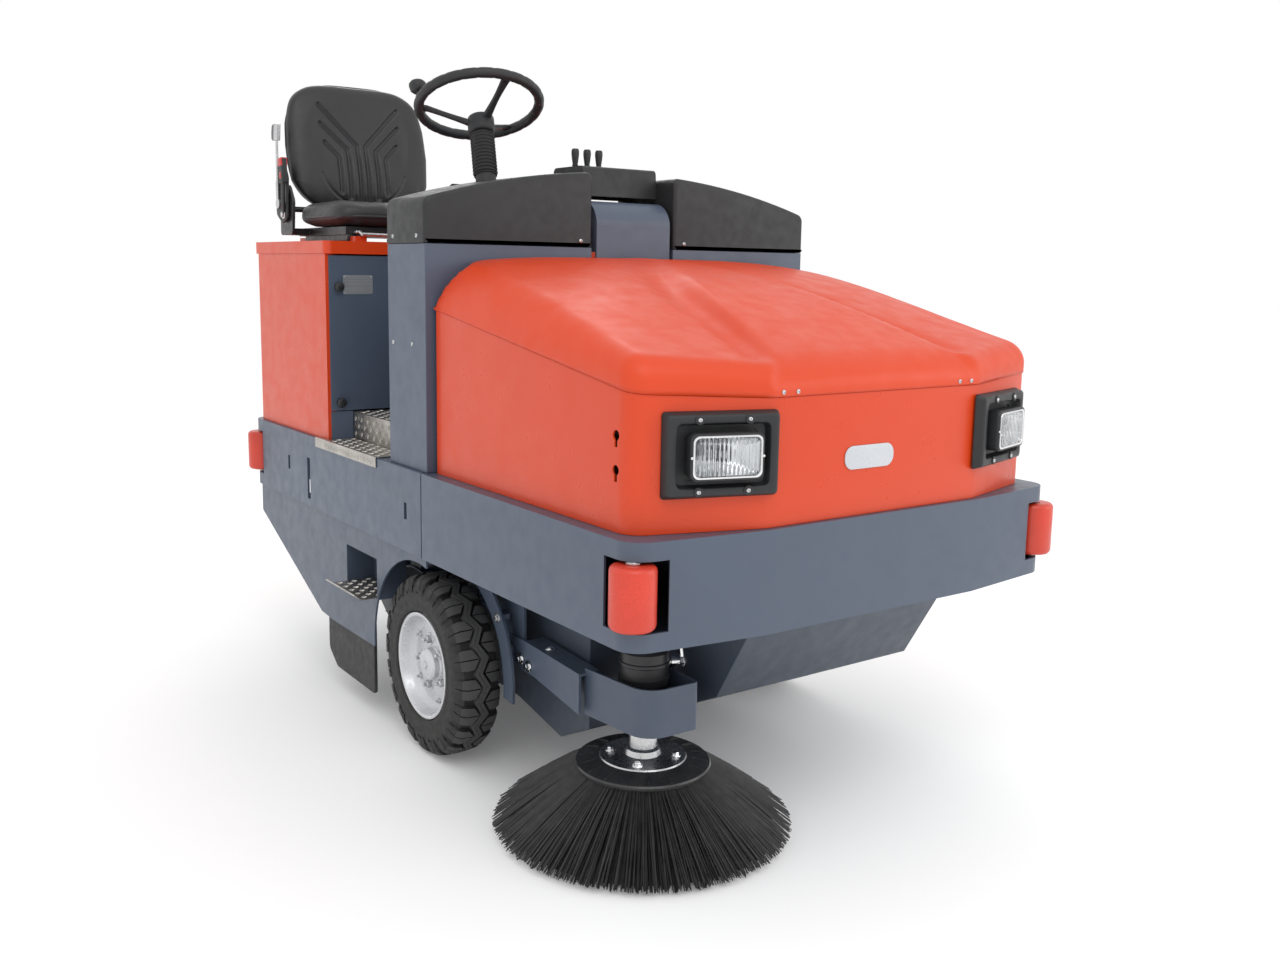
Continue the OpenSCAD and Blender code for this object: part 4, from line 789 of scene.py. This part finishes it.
def headlight(side, mk):
    def at(u, d, w):
        return (side * (HX + u * math.cos(FA) + d * math.sin(FA)), HY + u * math.sin(FA) - d * math.cos(FA),
            HZ + w)

    def ring(hu, hw, r, d, du=0.0):
        p = soften([(-hu, -hw), (hu, -hw), (hu, hw), (-hu, hw)], r, 6)
        return [at(u + du, d, w) for u, w in p]

    b = mk["frame"]
    b.loft([ring(108, 75, 7, 0), ring(108, 75, 7, 3), ring(106, 73, 7, 6), ring(104, 71, 7, 15),
        ring(101.5, 68.5, 6, 18.6), ring(99, 66, 6, 19.7), ring(88, 57, 9, 19.7), ring(86, 55, 9, 18),
        ring(84.5, 53.5, 9, 9), ring(82, 51, 9, 4), ring(70, 43.5, 12, 3)], caps=(True, False))
    n = Vector(at(0, 1, 0)) - Vector(at(0, 0, 0))
    for u in (-46, 46):
        for w in (-61.5, 61.5):
            b.lathe([(0, -1), (8.5, -1), (8.5, 1.6), (7, 2.4), (5.6, 2.0), (0, 1.6)], aim(at(u, 19.7, w), n),
                24, 0)
            b.screw(at(u, 21.4, w), tuple(n), 4.4, 1)
    h = mk["lamp"]
    # body, bezel and reflector
    h.loft([ring(50, 28, 12, -19), ring(62, 36, 14, -4), ring(66, 39.5, 14, 6), ring(67.4, 40.6, 13, 20),
        ring(68, 41, 12, 30), ring(68, 41, 12, 34), ring(66.5, 39.6, 12, 36.6), ring(63.5, 36.6, 11, 37.2)],
        caps=(True, False))
    h.loft([ring(64, 37, 11, 36.9), ring(62.5, 35.5, 11, 37.9), ring(60.5, 33.6, 10, 37.6),
        ring(59, 32, 9, 35)], 1, caps=(False, False))
    h.loft([ring(60, 33, 9, 35.5), ring(50, 27, 10, 20), ring(36, 20, 12, 7), ring(18, 14, 12, 0),
        ring(8, 8, 7.9, -3)], 1, caps=(False, True))
    h.lathe([(0, 0), (7, 0), (7, 10), (5.5, 14), (0, 16)], aim(at(0, -2, 0), n), 20, 2)
    for u in (-65.8, 65.8):
        h.screw(at(u, 36.6, 0), tuple(n), 2.4, 1)
    g = mk["glass"]
    g.loft([ring(60.4, 33.6, 9, 33.2), ring(60.4, 33.6, 9, 35.6), ring(52, 27, 9, 37.3),
        ring(30, 14, 9, 37.9)])


parts = {"frame": Build(), "lamp": Build(), "glass": Build()}
headlight(1, parts)
headlight(-1, parts)
parts["frame"].make("headlight_frame_mouldings", "hopper", [PLASTIC, ZINC], "black_plastic",
    ["headlight_frames"], angle=42)
parts["lamp"].make("headlamp_bodies", "hopper", [PLASTIC, CHROME, PLATE], "black_plastic", ["headlamps"],
    angle=40)
parts["glass"].make("headlamp_lenses", "hopper", GLASS, "lamp_glass", angle=40)


# ---- corner rollers
def roller(x, y, name):
    b = Build()
    m = Matrix.Translation((x, y, 509))
    b.lathe([(8.2, 0), (30, 0), (36, 1.5), (39.5, 5), (41, 10), (41, 102), (39.5, 107), (36, 110.5),
        (30, 112), (8.2, 112)], m, 56, closed=True)
    b.make(name + "_sleeve", name, ROLLER, "orange_roller", [name], angle=60)


RX, RFY, RRY = 553 + 22 - 41, -839 + 41 - 22, 1075 - 41 + 22
roller(-RX, RFY, "front_right_roller")
roller(RX, RFY, "front_left_roller")
roller(-RX, RRY, "rear_right_roller")
roller(RX, RRY, "rear_left_roller")
for body, y, nm in (("hopper", RFY, "front_roller_collars"), ("chassis", RRY, "rear_roller_collars")):
    b = Build()
    for x in (-RX, RX):
        for z0 in (503.3, 621.3):
            b.lathe([(8.4, 0), (12, 0), (13, 1), (13, 4.2), (12, 5.2), (8.4, 5.2)],
                Matrix.Translation((x, y, z0)), 32, closed=True)
    b.make(nm, body, ZINC, "zinc_steel", angle=40)


# ---- seat
def bump_line(px, pz, pts, width):
    """Distance-based groove profile along a polyline, for arrays of points."""
    best = np.full(px.shape, 1e9)
    for (ax, az), (bx, bz) in zip(pts[:-1], pts[1:]):
        dx, dz = bx - ax, bz - az
        t = np.clip(((px - ax) * dx + (pz - az) * dz) / (dx * dx + dz * dz), 0, 1)
        best = np.minimum(best, np.hypot(px - ax - t * dx, pz - az - t * dz))
    return np.exp(-(best / width) ** 2)


def pillow(nu, nv):
    u = np.linspace(-1, 1, nu)
    v = np.linspace(-1, 1, nv)
    return np.meshgrid(u, v, indexing="ij")


def close_pillow(front, back):
    """Joins two grids that share their border into one closed shell."""
    nu, nv = front.shape[:2]
    verts, index = [], {}
    faces = []

    def vid(side, i, j):
        edge = i in (0, nu - 1) or j in (0, nv - 1)
        k = (0 if edge else side, i, j)
        if k not in index:
            index[k] = len(verts)
            g = front if (side == 0 or edge) else back
            verts.append(tuple(g[i, j]))
        return index[k]

    for side in (0, 1):
        for i in range(nu - 1):
            for j in range(nv - 1):
                q = (vid(side, i, j), vid(side, i + 1, j), vid(side, i + 1, j + 1), vid(side, i, j + 1))
                q = tuple(dict.fromkeys(q))
                if len(q) > 2:
                    faces.append(q if side == 0 else q[::-1])
    return verts, faces


def simulate(o, pressure=3.0, cap=0.006, frames=14):
    """Swells the foam a little with Blender's cloth, then fixes the result in the mesh."""
    me = o.data
    bpy.context.view_layer.objects.active = o
    for x in bpy.context.selected_objects:
        x.select_set(False)
    o.select_set(True)
    rest = np.array([v.co for v in me.vertices])
    c = o.modifiers.new("cloth", "CLOTH")
    c.settings.use_pressure = True
    c.settings.uniform_pressure_force = pressure
    c.settings.effector_weights.gravity = 0
    c.settings.quality = 4
    c.settings.tension_stiffness = 60
    c.settings.compression_stiffness = 60
    c.settings.bending_stiffness = 20
    c.collision_settings.use_collision = False
    c.point_cache.frame_start = 1
    c.point_cache.frame_end = frames
    sc = bpy.context.scene
    for f in range(1, frames + 1):
        sc.frame_set(f)
    dg = bpy.context.evaluated_depsgraph_get()
    e = o.evaluated_get(dg)
    got = np.array([v.co for v in e.data.vertices])
    o.modifiers.remove(c)
    sc.frame_set(1)
    if got.shape == rest.shape and np.isfinite(got).all():
        d = got - rest
        d -= d.mean(0)
        n = np.linalg.norm(d, axis=1)[:, None]
        d *= np.minimum(1, cap / np.maximum(n, 1e-9))
        me.vertices.foreach_set("co", (rest + d).astype(np.float32).ravel())
        me.update()


BACK_H = 178.0
LEAN = math.radians(10.5)
CUSHION_Y = 722


def back_outline(u, w):
    """The backrest's edge: half width and height at u across and w up, each from -1 to 1."""
    wide = 212 * np.interp(w, [-1, -0.6, -0.1, 0.4, 0.8, 1], [0.84, 0.97, 1.0, 0.98, 0.92, 0.88])
    return wide * u * np.sqrt(1 - 0.30 * w ** 8), BACK_H * w * np.sqrt(1 - 0.22 * np.abs(u) ** 5)


def squircle(count, power):
    """Points round a square with soft corners, each side from -1 to 1."""
    out = []
    for i in range(count):
        c, s = math.cos(2 * math.pi * i / count), math.sin(2 * math.pi * i / count)
        out.append((math.copysign(min(1, abs(c) ** power), c), math.copysign(min(1, abs(s) ** power), s)))
    return out


def strokes(x, y, lines):
    """The deepest groove of several mirrored polylines."""
    g = np.zeros_like(x)
    for pts in lines:
        for s in (-1, 1):
            g = np.maximum(g, bump_line(x, y, [(s * a, b) for a, b in pts], 4.6))
    return g


def seat():
    cx = SEAT_X
    # backrest: x across, z up, leaning back about its hinge
    U, W = pillow(111, 101)
    x, z = back_outline(U, W)
    edge = (1 - np.abs(U) ** 6) ** 0.42 * (1 - np.abs(W) ** 8) ** 0.42
    bol = smoothstep((np.abs(x) - 112) / 75)
    t = 22 + 16 * bol * smoothstep((1.05 - W) / 0.9)
    t = t + 9 * np.exp(-((W + 0.45) / 0.4) ** 2) * (1 - bol) + 6 * np.exp(-((W - 0.85) / 0.25) ** 2)
    groove = strokes(x, z, ([(-118, 118), (-12, 8), (-12, -150)], [(-116, 66), (-42, -4), (-42, -138)],
                            [(-108, 14), (-70, -24), (-70, -122)]))
    arc = [(128 * math.sin(a), -40 - 122 * math.cos(a)) for a in np.linspace(-1.3, 1.3, 19)]
    groove2 = bump_line(x, z, arc, 3.2)
    # flutes stand a little proud between the grooves
    flute = np.exp(-((np.abs(x) - 27) / 11) ** 2) + np.exp(-((np.abs(x) - 56) / 11) ** 2)
    flute = flute + np.exp(-(x / 9) ** 2)
    flute = flute * smoothstep((z + 150) / 25) * smoothstep((0 - z) / 30)
    f = edge * (t + 3.5 * flute) - 7.5 * groove * edge - 3.2 * groove2 * edge
    bk = edge * 20
    base_y, base_z = 932, 1431

    def put(depth):
        yy = base_y + z * math.tan(LEAN) + depth
        return np.stack([cx + x, yy, base_z + z], 2)

    v, fc = close_pillow(put(-f), put(bk))
    b = Build()
    b.add(v, fc)
    back = b.make("backrest_pad", "backrest", VINYL, "black_vinyl", ["seat_backrest"], angle=180)
    # piping and shell behind the backrest
    ring = [tuple(0.985 * q for q in back_outline(u, w)) for u, w in squircle(120, 0.42)]
    s = Build()

    def at(p, f, d):
        q = Vector(p) * f
        return (cx + q[0], base_y + q[1] * math.tan(LEAN) + d, base_z + q[1])

    s.tube([at(p, 1.0, 2) for p in ring], 4.2, 8, closed=True)
    shell = ((0.985, 6), (0.97, 22), (0.90, 33), (0.6, 37), (0.2, 37))
    s.loft([[at(p, f, d) for p in ring] for f, d in shell], 1, caps=(False, True))
    s.tube([(cx - 219, 919, 1257), (cx + 219, 919, 1257)], 8, 20, 2)
    s.make("backrest_shell", "backrest", [VINYL, PLASTIC, METALB], "black_plastic", angle=45)
    # cushion: x across, y along, pillow normal is up
    U, W = pillow(111, 91)
    x = 210 * U * np.sqrt(1 - 0.18 * np.abs(W) ** 6)
    y = 160 * W * np.sqrt(1 - 0.20 * np.abs(U) ** 6)
    edge = (1 - np.abs(U) ** 7) ** 0.40 * (1 - np.abs(W) ** 7) ** 0.40
    bol = smoothstep((np.abs(x) - 128) / 60)
    t = 26 + 16 * bol * smoothstep((W + 1.25) / 0.9)
    t = t + 8 * np.exp(-((W + 0.85) / 0.35) ** 2) - 5 * np.exp(-((W - 0.5) / 0.4) ** 2) * (1 - bol)
    groove = strokes(x, y, ([(12, 150), (12, -60), (70, -150)], [(42, 150), (42, -40), (108, -120)],
                            [(72, 150), (72, -10), (122, -66)]))
    top = edge * t - 5.5 * groove * edge
    low = edge * 26
    mid = 1235

    def lay(h):
        return np.stack([cx + x, CUSHION_Y + y, mid + h], 2)

    v, fc = close_pillow(lay(top), lay(-low))
    b = Build()
    b.add(v, fc)
    cushion = b.make("cushion_pad", "seat", VINYL, "black_vinyl", ["seat_cushion"], angle=180)
    simulate(back)
    simulate(cushion)
    for o in (back, cushion):
        m = o.modifiers.new("sub", "SUBSURF")
        m.levels = m.render_levels = 1
    # seat pan with rolled edge under the cushion
    p = Build()
    ring = [(cx + 212 * u * 0.985, CUSHION_Y + 162 * w * 0.985) for u, w in squircle(96, 0.40)]
    p.tube([(a, b, 1230) for a, b in ring], 4.0, 8, closed=True)
    p.loft([[(cx + (a - cx) * f, CUSHION_Y + (b - CUSHION_Y) * f, h) for a, b in ring]
        for f, h in ((0.985, 1226), (0.96, 1216), (0.86, 1208), (0.5, 1206), (0.2, 1206))], 1,
        caps=(False, True))
    p.make("cushion_pan", "seat", [VINYL, PLASTIC], "black_plastic", angle=45)
    # belt buckle, its stalk, side covers with screws
    q = Build()
    xs = cx - 232
    q.prism(soften([(862, 1228), (900, 1216), (944, 1240), (946, 1330), (925, 1372), (880, 1378),
        (856, 1340)], [16, 24, 20, 20, 24, 24, 20], 7), "x", xs - 6, xs + 2, 3, 4, 0)
    q.prism(soften([(838, 1322), (872, 1322), (874, 1388), (842, 1392)], [5, 5, 7, 7], 5), "x", xs - 24,
        xs - 8, 4, 4, 0)
    q.prism(soften([(841, 1368), (871, 1366), (872, 1389), (843, 1391)], 4, 4), "x", xs - 25, xs - 7, 3, 3, 1)
    q.prism(soften([(848, 1334), (860, 1334), (860, 1352), (848, 1352)], 2, 3), "x", xs - 24.8, xs - 20, 1, 2,
        1)
    q.tube([(xs - 15, 856, 1326), (xs - 14, 862, 1290), (xs - 10, 874, 1256), (xs - 6, 884, 1240)], 4.5, 10,
        2)
    q.bolt((xs - 6, 886, 1240), (-1, 0, 0), 8, 5, 2, 3)
    for yy, zz in ((918, 1262), (928, 1320), (880, 1352)):
        q.screw((xs - 6, yy, zz), (-1, 0, 0), 4.5, 3)
    q.make("seat_side_fittings", "seat", [PLASTIC, RED, METALB, ZINC], "black_plastic", angle=40)
    # suspension link and rail ends, under the pan
    r = Build()
    for sx in (-1, 1):
        x0 = cx + sx * 150
        r.block((x0 - 24, x0 + 24), (592, 604), (1166, 1184), 2, 0)
        r.block((x0 - 8, x0 + 8), (570, 604), (1186, 1194), 2, 1)
    r.tube([(cx - 150, 566, 1190), (cx - 150, 552, 1184), (cx, 548, 1182), (cx + 150, 552, 1184),
        (cx + 150, 566, 1190)], 5, 12, 1)
    r.make("seat_adjuster_bar", "seat", [METALB, ZINC], "black_plastic", angle=40)
    k = Build()
    k.lathe([(0, 0), (7, 0), (9.6, 4), (10.4, 20), (9.6, 38), (7, 43), (0, 44)],
        turn((cx - 241.5, 930, 1441), rx=8), 24, 0)
    k.make("recline_knob", "recline_lever", KNOB, "black_plastic", angle=50)


seat()


# ---- chequer bars on the treads
def chequer(name, body, origin, du, dv, nu, nv, pitch=19):
    b = Build()
    o, eu, ev = Vector(origin), Vector(du), Vector(dv)
    n = eu.cross(ev).normalized()
    for i in range(int(nu // pitch)):
        for j in range(int(nv // pitch)):
            c = o + eu * (pitch * (i + 0.5)) + ev * (pitch * (j + 0.5))
            s = 1 if (i + j) % 2 else -1
            d = (eu + ev * s).normalized()
            w = d.cross(n)
            for off in (-pitch * 0.17, pitch * 0.17):
                cc = c + w * off
                L, h = pitch * 0.36, 1.1
                base = [cc + d * L, cc + w * 1.9 + d * L * 0.3, cc + w * 1.9 - d * L * 0.3, cc - d * L,
                    cc - w * 1.9 - d * L * 0.3, cc - w * 1.9 + d * L * 0.3]
                top = [p + n * h + (cc - p) * 0.34 for p in base]
                k = 6
                b.add([tuple(p - n * 0.4) for p in base] + [tuple(p) for p in top],
                    [tuple(range(6, 12))] + [(q, (q + 1) % k, k + (q + 1) % k, k + q) for q in range(k)])
    b.make(name, body, TREAD, "tread_aluminium", smooth=False)


chequer("lower_tread_bars", "chassis", (-554, 190, 664.0), (1, 0, 0), (0, 1, 0), 78, 318)
chequer("platform_bars", "chassis", (-472, 200, 732.0), (1, 0, 0), (0, 1, 0), 408, 308)
chequer("riser_bars", "chassis", (-474.0, 508, 668), (0, -1, 0), (0, 0, 1), 308, 58)
chequer("boarding_step_bars", "chassis", (-578, 228, 317.2), (1, 0, 0), (0, 1, 0), 106, 174)
chequer("step_lip_bars", "chassis", (-557.0, 508, 640), (0, -1, 0), (0, 0, 1), 318, 22)


# ---- latches, screws and fittings
def details():
    b = Build()
    for z in (1051, 757):
        b.lathe([(0, 0), (12, 0), (12.5, 2), (11.5, 7), (9, 9), (0, 9)],
            turn((-509, 501.8, z), rx=90) @ Matrix.Translation((0, 0, -1)), 32, 0)
        b.block((-515, -503), (491, 494), (z - 2.5, z + 2.5), 0.8, 0)
    z0, z1 = 1032, 1080
    p = Build()
    p.prism(soften([(-496, z0), (-416, z0), (-416, z1), (-496, z1)], 4, 4), "y", 509.9, 510.6, 0.2, 1)
    p.make("blank_data_plate", "battery_door", PLATE, angle=30)
    s = Build()
    for x in (-492, -420):
        for z in (z0 + 4, z1 - 4):
            s.screw((x, 509.8, z), (0, -1, 0), 1.8)
    s.make("data_plate_rivets", "battery_door", ZINC, "zinc_steel")
    # blank badge on the hopper's front
    g = Build()
    g.prism(soften([(-92, 748), (36, 748), (36, 792), (-92, 792)], 20, 8), "y", -862.6, -860.2, 1.0, 3)
    g.make("blank_front_badge", "hopper", BADGE, angle=30)
    # bolts of the hopper beam
    h = Build()
    for x in (-470, -300, 300, 470):
        h.bolt((x, -90, 565), (0, 0, 1), 8, 6, 2)
    h.make("hopper_beam_bolts", "hopper", ZINC, "zinc_steel")
    # washers at the lift arm's hinge
    a = Build()
    for x in (-1, 1):
        a.lathe([(20.3, 0), (33, 0), (33, 3), (20.3, 3)],
            Matrix.Translation((x * 108.5, 0, 1205)) @ Matrix.Rotation(x * math.pi / 2, 4, "Y"), 32,
            closed=True)
    a.make("pivot_washers", "chassis", ZINC, "zinc_steel")
    # side brush carrier: bolts, motor fitting and hose stub
    c = Build()
    for (x, y, z, r) in ((-427.2, -205, 284, 11), (-415.3, -248, 274, 8), (-415.3, -280, 266, 8)):
        c.bolt((x, y, z), (-1, 0, 0), r, 7, 3)
    c.bolt((-392, -330, 313.5), (0, -0.05, 1), 7, 5, 2)
    for i in range(4):
        q = math.pi / 4 + i * math.pi / 2
        c.bolt((BRUSH_X + 42 * math.cos(q), BRUSH_Y + 42 * math.sin(q), 226.5), (0, 0, 1), 5, 5, 0)
    c.lathe([(0, 0), (10, 0), (10, 8), (13, 9), (13, 20), (9, 22), (9, 30), (0, 30)],
        turn((-272, -572, 334), ry=90, rz=-20), 24)
    c.lathe([(0, -12), (8, -9), (12, 0), (8, 9), (0, 12)], turn((-240, -584, 334)), 20)
    c.tube([(-240, -584, 338), (-242, -580, 372), (-246, -574, 398)], 6, 12)
    c.make("brush_carrier_fittings", "brush_carrier", CHROME, "zinc_steel", angle=40)
    m = Build()
    M = Matrix.Translation((BRUSH_X, BRUSH_Y, 0))
    m.lathe([(0, 226.5), (48, 226.5), (48, 296), (49, 298), (51, 299), (51, 312), (49, 313.5), (48.5, 316),
        (48.5, 336), (51, 338), (51, 344), (49, 346), (49, 364), (43, 371), (0, 372)], M, 56)
    m.lathe([(12.6, 167), (17, 168), (17, 225), (12.6, 225.5)], M, 32, 1, closed=True)
    m.make("brush_motor_case", "brush_carrier", [METALB, ZINC], "black_metal", ["brush_motor"], angle=40)
    # bolt of the right wheel guard
    d = Build()
    d.bolt((-446.2, -200, 358), (-1, 0, 0), 7, 5, 2)
    d.make("guard_bolt", "chassis", ZINC, "zinc_steel")
    b.make("door_latch_heads", "battery_door", PLASTIC, "black_plastic", angle=40)


details()


# ---- floor, light and camera
def stage():
    me = bpy.data.meshes.new("floor")
    me.from_pydata([(-30, -30, 0), (30, -30, 0), (30, 30, 0), (-30, 30, 0)], [], [(0, 1, 2, 3)])
    fl = bpy.data.objects.new("floor", me)
    bpy.context.scene.collection.objects.link(fl)
    m = bpy.data.materials.new("floor_pale")
    m.use_nodes = True
    n = m.node_tree.nodes
    b = n["Principled BSDF"]
    sockets(b, Roughness=0.75, Specular_IOR_Level=0.2, Emission_Color=(1, 1, 1, 1), Emission_Strength=0.08)
    t = n.new("ShaderNodeTexNoise")
    sockets(t, Scale=3)
    r = n.new("ShaderNodeMapRange")
    sockets(r, To_Min=0.93, To_Max=0.95)
    c = n.new("ShaderNodeCombineColor")
    m.node_tree.links.new(t.outputs["Fac"], r.inputs["Value"])
    for k in range(3):
        m.node_tree.links.new(r.outputs["Result"], c.inputs[k])
    m.node_tree.links.new(c.outputs["Color"], b.inputs["Base Color"])
    me.materials.append(m)
    w = bpy.data.worlds.new("studio")
    bpy.context.scene.world = w
    w.use_nodes = True
    sockets(w.node_tree.nodes["Background"], Color=(1, 1, 1, 1), Strength=1.0)

    def area(name, loc, target, size, power):
        d = bpy.data.lights.new(name, "AREA")
        d.shape = "RECTANGLE"
        d.size, d.size_y = size
        d.energy = power
        o = bpy.data.objects.new(name, d)
        bpy.context.scene.collection.objects.link(o)
        o.location = loc
        o.rotation_mode = "QUATERNION"
        o.rotation_quaternion = (Vector(target) - Vector(loc)).to_track_quat("-Z", "Y")

    area("key", (-1.2, -3.2, 4.2), (0, -0.2, 0.6), (3.2, 2.2), 45)
    area("front", (3.2, -3.4, 2.0), (0.1, -0.6, 0.7), (2.6, 2.2), 25)
    area("rim", (1.6, 3.6, 3.4), (0, 0, 1.0), (2.4, 1.8), 30)


stage()

cam_data = bpy.data.cameras.new("camera")
cam = bpy.data.objects.new("camera", cam_data)
bpy.context.scene.collection.objects.link(cam)
# the view was solved from the photo's shape: place, angles, focal length and centre of view in pixels
cam.location = place((-1660, -2384, 1106))
yaw, pitch, roll = 0.611, -0.151, 0.0157
WIDE, HIGH, FOCAL = 1280, 960, 1190.04
CENTRE_X, CENTRE_Y = 619.97, 450.09
fwd = Vector((math.sin(yaw) * math.cos(pitch), math.cos(yaw) * math.cos(pitch), math.sin(pitch)))
right = Vector((math.cos(yaw), -math.sin(yaw), 0))
up = right.cross(fwd)
r2 = right * math.cos(roll) + up * math.sin(roll)
u2 = up * math.cos(roll) - right * math.sin(roll)
cam.rotation_mode = "QUATERNION"
cam.rotation_quaternion = Matrix((r2, u2, -fwd)).transposed().to_quaternion()
cam_data.sensor_width = 36
cam_data.lens = FOCAL / WIDE * cam_data.sensor_width
cam_data.shift_x = (WIDE / 2 - CENTRE_X) / WIDE
cam_data.shift_y = (CENTRE_Y - HIGH / 2) / WIDE
cam_data.clip_start, cam_data.clip_end = 0.05, 100
bpy.context.scene.camera = cam
bpy.context.scene.view_settings.view_transform = "Standard"
